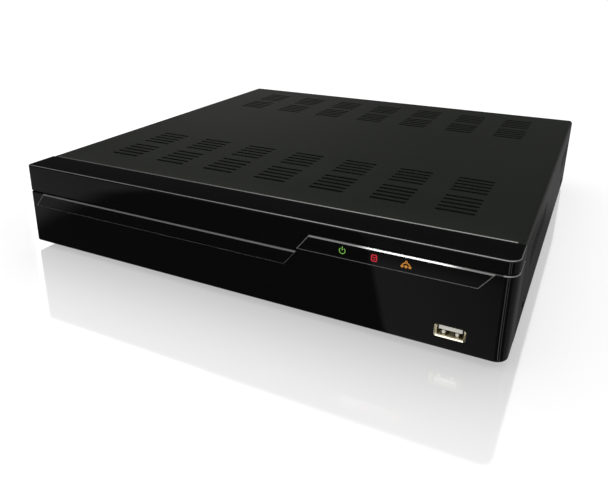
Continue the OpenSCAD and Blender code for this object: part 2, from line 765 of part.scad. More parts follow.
// ---------- fan ----------
module fan_frame() {
    y = panel_in - 20;
    color([0.06, 0.06, 0.065]) difference() {
        union() {
            difference() {
                block([fan_x - 20, y, fan_z - 20], [fan_x + 20, panel_in, fan_z + 20]);
                rod_y([fan_x, y - 1, fan_z], 19, 22);
                block([fan_x - 21, y + 3.5, fan_z - 12], [fan_x - 19.2, panel_in - 3.5, fan_z + 12]);
            }
            rod_y([fan_x, panel_in - 2.4, fan_z], 9.5, 2.4);
            for (a = [45:90:315]) translate([fan_x, panel_in - 2.2, fan_z]) rotate([0, a, 0])
                translate([9, 0, -1]) cube([10.4, 1.8, 2]);
            rod_y([fan_x, panel_in - 14, fan_z], 3, 12);
        }
        rod_y([fan_x, panel_in - 16, fan_z], 1.55, 14.6);
        for (sx = [-1, 1], sz = [-1, 1]) rod_y([fan_x + sx * 16, y - 1, fan_z + sz * 16], 1.8, 22);
    }
}

module fan_rotor() {
    y = panel_in - 18;
    color([0.07, 0.07, 0.075]) {
        difference() {
            rod_y([fan_x, y, fan_z], 9.2, 14.6);
            rod_y([fan_x, y + 1.6, fan_z], 8, 14);
        }
        rod_y([fan_x, y + 1.6, fan_z], 1.5, 13);
        intersection() {
            for (i = [0:fan_blades - 1]) translate([fan_x, y + 7.3, fan_z])
                rotate([0, i * 360 / fan_blades, 0]) translate([8.6, 0, 0])
                    rotate([40, 0, 0]) translate([0, -9, -0.6]) cube([12, 18, 1.2]);
            rod_y([fan_x, y + 0.8, fan_z], 18.2, 13);
        }
    }
}

module fan_guard() {
    color([0.75, 0.75, 0.76]) translate([fan_x, panel_out, fan_z]) rotate([-90, 0, 0]) {
        for (r = [5, 9.5, 14, 18.5]) translate([0, 0, 1.9])
            rotate_extrude() translate([r, 0]) circle(0.8, $fn = 16);
        for (a = [0, 90]) rotate([0, 0, a]) translate([-18.5, -0.7, 0.3]) cube([37, 1.4, 1.4]);
        for (sx = [-1, 1], sy = [-1, 1]) translate([sx * 16, sy * 16, 0]) difference() {
            cylinder(r = 3.2, h = 1.2);
            translate([0, 0, -1]) cylinder(r = 1.8, h = 4);
        }
        for (a = [45:90:315]) rotate([0, 0, a]) translate([17.8, -0.9, 0]) cube([2.2, 1.8, 1.2]);
    }
}

module fan_screws() {
    color([0.2, 0.2, 0.2]) for (sx = [-1, 1], sz = [-1, 1])
        translate([fan_x + sx * 16, panel_out + 1.2, fan_z + sz * 16]) {
            pan_head_back(3, 2);
            rod_y([0, -12, 0], 1.7, 12);
        }
}

// Screw head that faces the rear, with a cross recess
module pan_head_back(r, h) {
    difference() {
        rod_y([0, 0, 0], r, h);
        translate([-r * 0.6, h - 1, -0.3]) cube([r * 1.2, 2, 0.6]);
        translate([-0.3, h - 1, -r * 0.6]) cube([0.6, 2, r * 1.2]);
    }
}

// ---------- hard drive ----------
module drive_casting() {
    color([0.7, 0.7, 0.71]) drive_frame() difference() {
        translate([-drive_w / 2, -drive_l / 2, 0]) cube([drive_w, drive_l, 25]);
        translate([0, spindle_y, 6]) difference() {
            cylinder(r = cavity_r, h = 30);
            cylinder(r = 4, h = 14);
        }
        difference() {
            translate([-12, -2, 6]) cube([60.3, 72, 30]);
            translate([pivot_x, pivot_y, 0]) cylinder(r = 5, h = 22);
            translate([0, spindle_y, 0]) cylinder(r = cavity_r - 0.2, h = 5);
        }
        translate([-42, -60, -1]) cube([84, 132, 4]);
        drive_bolts() translate([0, 0, -1]) cylinder(r = screw_r, h = 6);
        for (sx = [-1, 1], y = [-45, 56.6]) translate([sx * (drive_w / 2 + 1), y, 6.35])
            rotate([0, -sx * 90, 0]) cylinder(r = 1.5, h = 3.2);
    }
}

module drive_lid() {
    color([0.72, 0.73, 0.74]) drive_frame() difference() {
        union() {
            translate([0, 0, 25]) linear_extrude(drive_h - 25) rounded(drive_w - 3, drive_l - 3, 4);
            translate([0, spindle_y, 25]) cylinder(r = 20, h = 1.1);
        }
        translate([0, spindle_y, 25.6]) difference() {
            cylinder(r = 30, h = 2);
            cylinder(r = 18, h = 2);
        }
    }
}

module drive_platters() {
    color([0.85, 0.86, 0.88]) drive_frame() translate([0, spindle_y, 0]) difference() {
        union() {
            translate([0, 0, 7]) cylinder(r = 12.5, h = 15);
            for (z = [9.5, 15.5]) translate([0, 0, z]) cylinder(r = platter_r, h = 1.3);
        }
        translate([0, 0, 6]) cylinder(r = 4.06, h = 14.6);
    }
}

module drive_actuator() {
    color([0.66, 0.66, 0.68]) drive_frame() translate([pivot_x, pivot_y, 0]) difference() {
        union() {
            translate([0, 0, 6.6]) cylinder(r = 8, h = 14.4);
            for (z = [7.6, 12.6, 18.4]) rotate([0, 0, arm_angle]) translate([6, 0, z])
                linear_extrude(1) polygon([[0, -5.5], [arm_len - 9, -1.6], [arm_len - 6, -1.6],
                    [arm_len - 6, 1.6], [arm_len - 9, 1.6], [0, 5.5]]);
            rotate([0, 0, arm_angle + 180]) translate([6, -8, 11.5]) cube([21, 16, 3]);
        }
        translate([0, 0, 5]) cylinder(r = 5.06, h = 17.3);
        rotate([0, 0, arm_angle + 180]) translate([13, -4, 10]) cube([9, 8, 6]);
    }
}

// Two yoke plates with the coil between them, from one ring segment
module yoke_plan() {
    difference() {
        intersection() {
            circle(30);
            polygon([[0, 0], [19, 33], [-26, 33]]);
        }
        circle(12);
    }
}

module drive_magnets() {
    color([0.6, 0.6, 0.62]) drive_frame() translate([pivot_x, pivot_y, 0]) {
        translate([0, 0, 6]) linear_extrude(3.4) yoke_plan();
        translate([0, 0, 16.6]) linear_extrude(3.4) yoke_plan();
        translate([0, 31.2, 6]) cylinder(r = 2, h = 14);
    }
}

module drive_board() {
    color([0.04, 0.2, 0.3]) drive_frame() translate([-40, -20, 1]) cube([80, 90, 1.5]);
    color([0.06, 0.06, 0.06]) drive_frame() {
        translate([-32, 69.5, 2.5]) cube([58, 2.5, 0.5]);
        translate([-26, drive_l / 2, 2.5]) cube([50, 3, 6.5]);
    }
}

module drive_screws() {
    color([0.75, 0.75, 0.76]) drive_frame() drive_bolts() {
        translate([0, 0, -1.2]) cylinder(r = screw_r, h = 5.2);
        translate([0, 0, -3.2]) cylinder(r = 3.2, h = 2);
    }
}

// ---------- cables ----------
module ribbon_cable() {
    color([0.7, 0.7, 0.72]) sweep(ribbon_path, flat_section(15, 1));
}

module sata_data_cable() {
    color([0.75, 0.1, 0.1]) sweep(data_path, flat_section(8, 2));
}

module sata_power_cable() {
    color([0.8, 0.65, 0.1]) sweep(power_path, flat_section(8, 1.8));
}

module fan_lead() {
    color([0.1, 0.1, 0.1]) sweep(fan_path, round_section(1));
}

// ---------- feet and fasteners ----------
module rubber_feet() {
    color([0.07, 0.07, 0.07]) for (x = [-foot_x, foot_x], y = foot_y) translate([x, y, 0])
        difference() {
            union() {
                cylinder(r = foot_r, h = foot_h);
                cylinder(r = 2, h = foot_h + sheet_t);
                translate([0, 0, foot_h + sheet_t]) cylinder(r = 3.2, h = 1.2);
            }
            translate([0, 0, -1]) cylinder(r = 2.6, h = 2.4);
        }
}

module board_standoffs() {
    color([0.8, 0.65, 0.3]) for (p = standoff_at) translate([p[0], p[1], pan_top]) difference() {
        union() {
            cylinder(r = 3, h = 6, $fn = 6);
            translate([0, 0, -sheet_t]) cylinder(r = screw_r, h = sheet_t);
        }
        translate([0, 0, 1]) cylinder(r = screw_r, h = 8);
    }
}

module board_screws() {
    color([0.75, 0.75, 0.76]) for (p = standoff_at) translate([p[0], p[1], main_top]) difference() {
        union() {
            cylinder(r = 2.9, h = 2);
            translate([0, 0, -5.6]) cylinder(r = screw_r, h = 5.6);
        }
        translate([-2, -0.35, 1.2]) cube([4, 0.7, 2]);
        translate([-0.35, -2, 1.2]) cube([0.7, 4, 2]);
    }
}

module cover_screws() {
    color([0.15, 0.15, 0.15]) {
        for (x = lip_screw_x) translate([x, y_rear, lip_screw_z]) {
            pan_head_back(2.3, 1.8);
            rod_y([0, -5, 0], screw_r, 5);
        }
        for (sx = [-1, 1], y = side_screw_y)
            translate([sx * (case_w / 2 - 5), y, side_screw_z]) rotate([0, sx * 90, 0]) {
                cylinder(r = screw_r, h = 5);
                translate([0, 0, 5]) difference() {
                    cylinder(r = 2.9, h = 1.4);
                    translate([-2, -0.35, 0.7]) cube([4, 0.7, 2]);
                    translate([-0.35, -2, 0.7]) cube([0.7, 4, 2]);
                }
            }
    }
}

base_chassis();
top_cover();
bezel_face();
bezel_cap();
power_icon();
drive_icon();
network_icon();
light_pipes();
front_board();
status_leds();
ir_receiver();
front_usb_shell();
front_usb_tongue();
ribbon_cable();
main_board();
heat_sink();
processor();
chips();
capacitors();
inductors();
coin_cell_holder();
coin_cell();
bnc_housing();
bnc_barrels();
bnc_insulators();
bnc_contacts();
rca_housing();
rca_barrels();
rca_inserts();
vga_shell();
vga_insert();
vga_nuts();
hdmi_port();
lan_port();
lan_contacts();
rear_usb_shell();
rear_usb_tongues();
terminal_header();
terminal_plug();
dc_jack();
switch_frame();
switch_rocker();
fan_frame();
fan_rotor();
fan_guard();
fan_screws();
drive_casting();
drive_lid();
drive_platters();
drive_actuator();
drive_magnets();
drive_board();
drive_screws();
sata_data_cable();
sata_power_cable();
fan_lead();
rubber_feet();
board_standoffs();
board_screws();
cover_screws();
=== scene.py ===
"""Desktop security video recorder: the finished looks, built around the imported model.

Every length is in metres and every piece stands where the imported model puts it. The bezel, the vented
cover, the icons and some of the sockets' fittings are surfaces worked out with numpy. The cover's
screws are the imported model's shapes, let in a little at the sides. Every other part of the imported
model is shown as it is, with a finish of its own.
"""
import json
import math

import bpy
import numpy as np
from mathutils import Matrix, Vector


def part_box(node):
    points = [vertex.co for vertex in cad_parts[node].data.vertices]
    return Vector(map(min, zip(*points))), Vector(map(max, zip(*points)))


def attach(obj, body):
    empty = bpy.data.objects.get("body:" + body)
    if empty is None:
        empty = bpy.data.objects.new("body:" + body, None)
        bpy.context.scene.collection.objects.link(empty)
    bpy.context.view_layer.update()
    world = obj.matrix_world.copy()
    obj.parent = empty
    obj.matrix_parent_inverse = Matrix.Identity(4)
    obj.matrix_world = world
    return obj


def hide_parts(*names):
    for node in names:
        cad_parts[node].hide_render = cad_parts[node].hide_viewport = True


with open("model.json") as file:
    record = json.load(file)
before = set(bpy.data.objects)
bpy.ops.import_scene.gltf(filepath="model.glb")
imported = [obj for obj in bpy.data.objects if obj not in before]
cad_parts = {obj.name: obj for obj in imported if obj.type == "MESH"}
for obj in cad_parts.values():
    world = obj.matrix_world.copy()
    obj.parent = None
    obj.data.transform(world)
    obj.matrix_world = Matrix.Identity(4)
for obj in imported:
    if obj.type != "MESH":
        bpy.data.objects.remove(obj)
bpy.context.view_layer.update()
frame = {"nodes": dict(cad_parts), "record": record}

bl_info = {
    "name": "Security video recorder",
    "version": (1, 0, 0),
    "blender": (4, 5, 0),
    "location": "3D View > Sidebar > Recorder",
    "description": "Builds a vented steel video recorder with a gloss bezel around its packed model",
    "category": "Object",
}

MM = 0.001
CASE = "case"
NODES = frame["nodes"]

face_lo, face_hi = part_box("bezel_face")
cap_lo, cap_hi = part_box("bezel_cap")
cover_lo, cover_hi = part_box("top_cover")
usb_lo, usb_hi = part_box("front_usb_shell")

HALF_W = face_hi.x
FRONT = cap_lo.y
FLOOR_Z = face_lo.z
TOP = cap_hi.z
BEZEL_BACK = cap_hi.y
COVER_FRONT = cover_lo.y
REAR = cover_hi.y
USB_X = (usb_lo.x + usb_hi.x) / 2
USB_Z = (usb_lo.z + usb_hi.z) / 2

# Bezel: half sizes of the facet round the socket, the hole in it as (width, height, corner radius),
# where the lip's painted highlight starts, the cap's rows with a painted highlight, and how deep a
# raised plate's root is sunk.
USB_FACET_HALF_W = 11 * MM
USB_FACET_HALF_H = 5.5 * MM
USB_HOLE = (15.6 * MM, 7.2 * MM, 0.8 * MM)
LIP_HIGHLIGHT_FROM = 139 * MM
CAP_HIGHLIGHT_ROWS = (6, 7)
PLATE_ROOT = 0.3 * MM

# Cover: each slot row's middle behind the front, and the side groups as (first slot, count), in mm;
# the side slots' middle above the bezel's underside, the hem's gap to the bezel and its straight tail.
SLOT_ROWS = (59.5, 93.7, 229.5, 263.3)
SIDE_GROUPS = ((52, 13), (228, 11))
SIDE_SLOT_Z = 33.5 * MM
HEM_GAP = 0.35 * MM
HEM_TAIL = 0.9 * MM

# Fittings: the USB sleeve's sections as (width, height, corner radius, distance behind the front) and
# its contacts as (place across, width), in mm; then the depths (front, back) of icons and contacts.
USB_SECTIONS = ((13.1, 5.7, 0.7, 12), (13.1, 5.7, 0.7, 1.5), (15.0, 6.5, 1.1, 0.75),
                (15.4, 6.8, 1.3, 0.45), (15.3, 6.7, 1.25, 0.2), (15.1, 6.5, 1.2, 0.15),
                (14.9, 6.3, 1.1, 0.25), (13.0, 5.0, 0.5, 1.2), (12.6, 4.8, 0.4, 1.6),
                (12.5, 5.1, 0.4, 12))
USB_CONTACTS = ((2.0, 1.0), (-2.0, 1.0), (4.2, 1.2), (-4.2, 1.2))
ICON_DEPTH = (FRONT - 0.5 * MM, FRONT + 0.1 * MM)
CONTACT_DEPTH = (FRONT + 2.4 * MM, FRONT + 9 * MM)

# Stage: the floor's tones; its light patch, which starts at the line x = slope * y + start; the
# bezel's right corner; the soft walls that light the floor, as (name, x, y); and the camera.
FLOOR_TONE = (0.4, 0.4, 0.4)
FLOOR_GLOW = 0.66
FLOOR_POLISH = 0.35
FLOOR_HALF = 6.0
PATCH_SLOPE = 0.46
PATCH_START = 0.163
CORNER_X = 0.145
CORNER_Y = -0.15
WALL_Z = 2
WALL_SIZE = (8, 4)
WALL_POWER = 100
WALLS = (("wall_back", 0, 3), ("wall_front", 0, -3), ("wall_left", -3, 0), ("wall_right", 3, 0))
CAMERA_TURN = 0.4763
CAMERA_DIP = 0.3546
CAMERA_ROLL = 0.0059
CAMERA_PLACE = (0.1697, -0.4122, 0.1732)


# ---------- sizes and colours a user may change ----------
class BezelSizes(bpy.types.PropertyGroup):
    """Sizes of the two gloss mouldings at the front"""
    corner_left: bpy.props.FloatProperty(
        name="Left corner", description="Radius of the left upright corner",
        default=2.5 * MM, unit="LENGTH")
    corner_right: bpy.props.FloatProperty(
        name="Right corner", description="Radius of the right upright corner",
        default=6.5 * MM, unit="LENGTH")
    wall: bpy.props.FloatProperty(
        name="Wall", description="Thickness of the mouldings",
        default=1.8 * MM, unit="LENGTH")
    top_edge: bpy.props.FloatProperty(
        name="Top edge radius", description="Rounding along the top edge",
        default=1.1 * MM, unit="LENGTH")
    bottom_edge: bpy.props.FloatProperty(
        name="Bottom edge radius", description="Rounding along the bottom",
        default=1.2 * MM, unit="LENGTH")
    parting_low: bpy.props.FloatProperty(
        name="Parting height, left", description="Parting line, left end",
        default=34.5 * MM, unit="LENGTH")
    parting_high: bpy.props.FloatProperty(
        name="Parting height, right", description="Parting line, right end",
        default=45 * MM, unit="LENGTH")
    parting_x: bpy.props.FloatProperty(
        name="Climb", description="Where the parting line starts to climb",
        default=41.8 * MM, unit="LENGTH")
    slant: bpy.props.FloatProperty(
        name="Slant", description="Sideways run of the slanted lines",
        default=7 * MM, unit="LENGTH")
    groove: bpy.props.FloatProperty(
        name="Groove", description="Height of the shadow groove",
        default=1 * MM, unit="LENGTH")
    lip: bpy.props.FloatProperty(
        name="Lip", description="Bevel along the top of the lower moulding",
        default=0.45 * MM, unit="LENGTH")
    band_height: bpy.props.FloatProperty(
        name="Band height", description="Height of the raised bands",
        default=9.0 * MM, unit="LENGTH")
    band_rise: bpy.props.FloatProperty(
        name="Band rise", description="How far the bands stand proud",
        default=0.45 * MM, unit="LENGTH")


class CoverSizes(bpy.types.PropertyGroup):
    """Sizes of the folded steel cover and its slots"""
    sheet: bpy.props.FloatProperty(
        name="Sheet", description="Thickness of the steel",
        default=1 * MM, unit="LENGTH")
    bend: bpy.props.FloatProperty(
        name="Bend radius", description="Outside radius of the long bends",
        default=2.5 * MM, unit="LENGTH")
    slot_length: bpy.props.FloatProperty(
        name="Slot length", description="Length of a top slot",
        default=20.8 * MM, unit="LENGTH")
    slot_width: bpy.props.FloatProperty(
        name="Slot width", description="Width of every slot",
        default=2.5 * MM, unit="LENGTH")
    slot_pitch: bpy.props.FloatProperty(
        name="Slot pitch", description="Distance between slots",
        default=5.8 * MM, unit="LENGTH")
    block_pitch: bpy.props.FloatProperty(
        name="Block pitch", description="Distance between slot blocks",
        default=36.8 * MM, unit="LENGTH")
    blocks: bpy.props.IntProperty(
        name="Blocks", description="Slot blocks across the cover", default=7)
    per_block: bpy.props.IntProperty(
        name="Slots", description="Slots in a block", default=5)
    hem_half: bpy.props.FloatProperty(
        name="Hem half length", description="Half length of the front hem",
        default=145.5 * MM, unit="LENGTH")
    hem_radius: bpy.props.FloatProperty(
        name="Hem radius", description="Rounding of the front hem",
        default=1.2 * MM, unit="LENGTH")
    side_slot: bpy.props.FloatProperty(
        name="Side slot length", description="Length of a side slot",
        default=13 * MM, unit="LENGTH")


class FinishColours(bpy.types.PropertyGroup):
    """Colours of the finishes, as scene-linear values"""
    paint: bpy.props.FloatVectorProperty(
        name="Paint", description="Paint on the steel",
        subtype="COLOR", default=(0.0090, 0.0105, 0.0081))
    gloss: bpy.props.FloatVectorProperty(
        name="Gloss black", description="Bezel mouldings",
        subtype="COLOR", default=(0.0022, 0.0022, 0.0023))
    green: bpy.props.FloatVectorProperty(
        name="Power icon", description="Lit power icon",
        subtype="COLOR", default=(0.14, 0.36, 0.05))
    red: bpy.props.FloatVectorProperty(
        name="Drive icon", description="Lit drive icon",
        subtype="COLOR", default=(0.42, 0.012, 0.022))
    amber: bpy.props.FloatVectorProperty(
        name="Network icon", description="Lit network icon",
        subtype="COLOR", default=(0.42, 0.17, 0.02))


# ---------- materials ----------
def new_material(name):
    """A new node material, with its tree and its shader."""
    mat = bpy.data.materials.new(name)
    mat.use_nodes = True
    tree = mat.node_tree
    shader = tree.nodes["Principled BSDF"]
    return mat, tree, shader


def mottle(tree, scale, low, high, detail=4.0):
    """Noise on Object coordinates, mapped from low to high."""
    where = tree.nodes.new("ShaderNodeTexCoord")
    noise = tree.nodes.new("ShaderNodeTexNoise")
    noise.inputs["Scale"].default_value = scale
    noise.inputs["Detail"].default_value = detail
    tree.links.new(where.outputs["Object"], noise.inputs["Vector"])
    spread = tree.nodes.new("ShaderNodeMapRange")
    spread.inputs["To Min"].default_value = low
    spread.inputs["To Max"].default_value = high
    tree.links.new(noise.outputs["Fac"], spread.inputs["Value"])
    return noise, spread


def tint(tree, noise, colour, change, socket):
    """Colour varied by the noise: darker where it is low and lighter where it is high."""
    ramp = tree.nodes.new("ShaderNodeMix")
    ramp.data_type = "RGBA"
    ramp.inputs["A"].default_value = [c * (1 - change) for c in colour] + [1]
    ramp.inputs["B"].default_value = [min(1, c * (1 + change)) for c in colour] + [1]
    tree.links.new(noise.outputs["Fac"], ramp.inputs["Factor"])
    tree.links.new(ramp.outputs["Result"], socket)


def grain(tree, shader, scale, strength, distance):
    """Fine bump from a second noise."""
    noise, _ = mottle(tree, scale, 0, 1, 2.0)
    bump = tree.nodes.new("ShaderNodeBump")
    bump.inputs["Strength"].default_value = strength
    bump.inputs["Distance"].default_value = distance
    tree.links.new(noise.outputs["Fac"], bump.inputs["Height"])
    tree.links.new(bump.outputs["Normal"], shader.inputs["Normal"])


def finish(name, colour, rough, metal=0.0, change=0.08, scale=60.0, bump=0.0, bump_scale=900.0,
           specular=0.5):
    """A surface with its own tone variation, roughness variation and fine bump."""
    mat, tree, shader = new_material(name)
    noise, spread = mottle(tree, scale, rough[0], rough[1])
    tint(tree, noise, colour, change, shader.inputs["Base Color"])
    tree.links.new(spread.outputs["Result"], shader.inputs["Roughness"])
    shader.inputs["Metallic"].default_value = metal
    shader.inputs["Specular IOR Level"].default_value = specular
    if bump:
        grain(tree, shader, bump_scale, bump, 0.0002)
    return mat


def lit(name, colour, strength):
    """A translucent window lit from behind, faintly mottled."""
    mat, tree, shader = new_material(name)
    noise, _ = mottle(tree, 400, 0, 1)
    tint(tree, noise, colour, 0.12, shader.inputs["Base Color"])
    tint(tree, noise, colour, 0.12, shader.inputs["Emission Color"])
    shader.inputs["Emission Strength"].default_value = strength
    shader.inputs["Roughness"].default_value = 0.25
    return mat


def clear_plastic(name):
    """Clear moulded plastic with faint flow marks."""
    mat, tree, shader = new_material(name)
    noise, spread = mottle(tree, 90, 0.04, 0.12)
    tint(tree, noise, (0.9, 0.92, 0.93), 0.02, shader.inputs["Base Color"])
    tree.links.new(spread.outputs["Result"], shader.inputs["Roughness"])
    shader.inputs["Transmission Weight"].default_value = 0.85
    shader.inputs["IOR"].default_value = 1.49
    return mat


def make_finishes(colours):
    """All finishes of the recorder, by the record's slot name."""
    paint = tuple(colours.paint)
    gloss = tuple(colours.gloss)
    return {
        "cover_paint": finish("cover_paint", paint, (0.27, 0.33), scale=35, change=0.06,
                              bump=0.10, bump_scale=1500, specular=0.25),
        # Painted highlight: a lighter, metallic copy of the paint for the cover's rounded front hem,
        # standing in for the line of light along it; it also reflects the lamps.
        "cover_hem_highlight": finish("cover_hem_highlight", (0.12, 0.122, 0.117), (0.18, 0.26), metal=0.85,
                             scale=200),
        "case_paint": finish("case_paint", paint, (0.38, 0.48), scale=35, bump=0.10,
                             bump_scale=1500, specular=0.3),
        "bezel_gloss": finish("bezel_gloss", gloss, (0.03, 0.06), scale=18, change=0.1,
                              specular=0.35),
        # Painted highlights: lighter grey, half metallic finishes for the bevels and the top edge of the
        # gloss black mouldings, standing in for their glints; they also reflect the lamps.
        "bezel_edge_highlight": finish("bezel_edge_highlight", (0.19, 0.19, 0.185), (0.2, 0.3), metal=0.45, scale=120),
        # Its smoother twin for the right band's top bevel: a painted highlight, on which the strip
        # lamp's real reflection falls too.
        "band_edge_highlight": finish("band_edge_highlight", (0.19, 0.19, 0.185), (0.07, 0.1), metal=0.45, scale=120),
        "icon_green": lit("icon_green", tuple(colours.green), 0.3),
        "icon_red": lit("icon_red", tuple(colours.red), 0.3),
        "icon_amber": lit("icon_amber", tuple(colours.amber), 0.3),
        "clear_plastic": clear_plastic("clear_plastic"),
        "board_green": finish("board_green", (0.012, 0.10, 0.035), (0.25, 0.38), scale=140,
                              change=0.2),
        "board_blue": finish("board_blue", (0.01, 0.05, 0.11), (0.25, 0.38), scale=140, change=0.2),
        # Pale, mostly diffuse plating for the spring noses: the plating's own colour, made less metallic
        # so the noses show as bright spots, a painted highlight.
        "spring_plating": finish("spring_plating", (0.88, 0.86, 0.76), (0.2, 0.3), metal=0.3,
                                 scale=300),
        "red_plastic": finish("red_plastic", (0.5, 0.015, 0.015), (0.3, 0.42)),
        "black_plastic": finish("black_plastic", (0.012, 0.012, 0.013), (0.35, 0.5), bump=0.12),
        "warm_plating": finish("warm_plating", (0.90, 0.84, 0.66), (0.14, 0.26), metal=1.0,
                               scale=300),
        "white_plastic": finish("white_plastic", (0.62, 0.62, 0.57), (0.3, 0.42)),
        "ribbon_grey": finish("ribbon_grey", (0.35, 0.35, 0.37), (0.4, 0.5)),
        "aluminium": finish("aluminium", (0.62, 0.62, 0.63), (0.28, 0.42), metal=1.0, bump=0.2),
        "sleeve_blue": finish("sleeve_blue", (0.01, 0.012, 0.05), (0.25, 0.35)),
        "ferrite": finish("ferrite", (0.05, 0.05, 0.055), (0.45, 0.6), bump=0.2),
        "steel": finish("steel", (0.6, 0.6, 0.61), (0.2, 0.34), metal=1.0, scale=220),
        "nickel": finish("nickel", (0.74, 0.73, 0.70), (0.13, 0.24), metal=1.0, scale=260),
        "gold": finish("gold", (0.85, 0.6, 0.2), (0.15, 0.25), metal=1.0, scale=400),
        "vga_blue": finish("vga_blue", (0.012, 0.03, 0.28), (0.32, 0.42)),
        "terminal_green": finish("terminal_green", (0.012, 0.2, 0.05), (0.32, 0.42), bump=0.08),
        "mirror_disc": finish("mirror_disc", (0.86, 0.87, 0.88), (0.02, 0.05), metal=1.0),
        "cable_red": finish("cable_red", (0.4, 0.012, 0.012), (0.35, 0.45)),
        "cable_yellow": finish("cable_yellow", (0.6, 0.38, 0.02), (0.35, 0.45)),
        "cable_black": finish("cable_black", (0.012, 0.012, 0.012), (0.35, 0.45)),
        "rubber": finish("rubber", (0.014, 0.014, 0.014), (0.7, 0.85), bump=0.25, specular=0.3),
        "brass": finish("brass", (0.7, 0.5, 0.18), (0.2, 0.32), metal=1.0),
        "screw_steel": finish("screw_steel", (0.66, 0.66, 0.67), (0.2, 0.32), metal=1.0, scale=300),
        "screw_black": finish("screw_black", (0.02, 0.02, 0.021), (0.25, 0.35), metal=0.6,
                              scale=300),
    }


FINISHES = {}


# ---------- surfaces ----------
def put_mesh(name, points, faces, slot, body=CASE, smooth=30.0, painted_highlights=(), highlight_marks=None):
    """Makes an object from points in metres and faces, with its finish, riding on a body. The extra
    finishes are painted highlights: a face marked 1 takes the first of them, a face marked 2 the second."""
    mesh = bpy.data.meshes.new(name)
    mesh.from_pydata(np.asarray(points, float).tolist(), [], [list(map(int, f)) for f in faces])
    mesh.update()
    piece = bpy.data.objects.new(name, mesh)
    bpy.context.scene.collection.objects.link(piece)
    mesh.materials.append(FINISHES[slot])
    for other in painted_highlights:
        mesh.materials.append(FINISHES[other])
    if painted_highlights:
        mesh.polygons.foreach_set("material_index", np.asarray(highlight_marks, np.int32))
    mesh.shade_smooth()
    mesh.set_sharp_from_angle(angle=math.radians(smooth))
    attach(piece, body)
    return piece


def grid_faces(rows, cols, first=0, wrap=False):
    """Quads of a grid whose points run row by row; wrap joins the last column to the first."""
    across = cols if wrap else cols - 1
    i, j = np.meshgrid(np.arange(rows - 1), np.arange(across), indexing="ij")
    k = (j + 1) % cols
    quads = np.stack([i * cols + j, i * cols + k, (i + 1) * cols + k, (i + 1) * cols + j], -1)
    return quads.reshape(-1, 4) + first


def join_close(points, faces, marks=None, reach=1e-6):
    """Merges points that coincide, by rounding them to a lattice, and drops points without a face and
    faces that collapse. marks holds a value for each face, and is thinned with them."""
    points = np.asarray(points)
    keys = np.round(points / reach).astype(np.int64)
    _, keep, back = np.unique(keys, axis=0, return_index=True, return_inverse=True)
    back = back.reshape(-1)
    merged, kept = [], []
    for k, face in enumerate(faces):
        ids = back[np.asarray(face)]
        ids = ids[ids != np.roll(ids, 1)]
        if len(ids) > 2:
            merged.append(ids)
            kept.append(k)
    used, flat = np.unique(np.concatenate(merged), return_inverse=True)
    merged = np.split(flat, np.cumsum([len(f) for f in merged])[:-1])
    marks = np.zeros(len(faces), int) if marks is None else np.asarray(marks)
    return points[keep][used], merged, marks[kept]


def arc(radius, start, stop, count):
    """Points of an arc about zero, angles in degrees."""
    a = np.radians(np.linspace(start, stop, count))
    return np.stack([radius * np.cos(a), radius * np.sin(a)], -1)


def soften(piece, width, segments=2, angle=35.0):
    """Rounds the sharp edges of a piece."""
    bevel = piece.modifiers.new("edges", "BEVEL")
    bevel.width = width
    bevel.segments = segments
    bevel.limit_method = "ANGLE"
    bevel.angle_limit = math.radians(angle)
    bevel.harden_normals = True


def thicken(piece, amount):
    """Gives a skin its wall, inwards."""
    wall = piece.modifiers.new("wall", "SOLIDIFY")
    wall.thickness = amount
    wall.offset = -1
    wall.use_even_offset = True


def plan_at(sizes, cuts, inset):
    """Plan of the bezel drawn in by inset, walked from the left rear round the front to the right rear:
    straight sides, and at each corner a quarter circle of the corner's radius less the inset."""
    left = max(sizes.corner_left - inset, 0.3 * MM)
    right = max(sizes.corner_right - inset, 0.3 * MM)
    half, front = HALF_W - inset, FRONT + inset
    turn_left = arc(left, 180, 270, 8) + [-half + left, front + left]
    turn_right = arc(right, 270, 360, 14) + [half - right, front + right]
    straight = np.stack([cuts, np.full(len(cuts), front)], -1)
    start, end = [[-half, BEZEL_BACK]], [[half, BEZEL_BACK]]
    return np.concatenate([start, turn_left, straight, turn_right, end])


def parting(x, sizes):
    """Height of the parting line above the bezel's underside: low, then a straight climb, then high."""
    climb = np.clip((x - sizes.parting_x) / sizes.slant, 0, 1)
    return sizes.parting_low + climb * (sizes.parting_high - sizes.parting_low)


def front_cuts(sizes):
    """Where the front's straight is cut across: at the climb, the socket and evenly between them."""
    usb = [USB_X - USB_FACET_HALF_W, USB_X + USB_FACET_HALF_W]
    climb = sizes.parting_x + sizes.slant * np.array([0, 0.03, 0.5, 0.97, 1])
    even = np.linspace(-HALF_W + sizes.corner_left, HALF_W - sizes.corner_right, 22)[1:-1]
    from_usb, from_climb = 12 * MM, 9 * MM
    far = [x for x in even
           if abs(x - USB_X) > from_usb and abs(x - sizes.parting_x) > from_climb]
    return np.array(sorted([*far, *usb, *climb]))


def skin(sizes, cuts, insets, heights):
    """Profile carried along the plan: point (s, t) is point s of the plan drawn in by inset t, at the
    height that s and t give."""
    rings = np.stack([plan_at(sizes, cuts, inset) for inset in insets], 1)
    return np.concatenate([rings, heights[..., None]], -1)


def sheet_to_back(edge, back):
    """Flat fill from each point of an edge straight back to the line y = back, as two rows."""
    far = edge.copy()
    far[:, 1] = back
    return np.stack([edge, far])


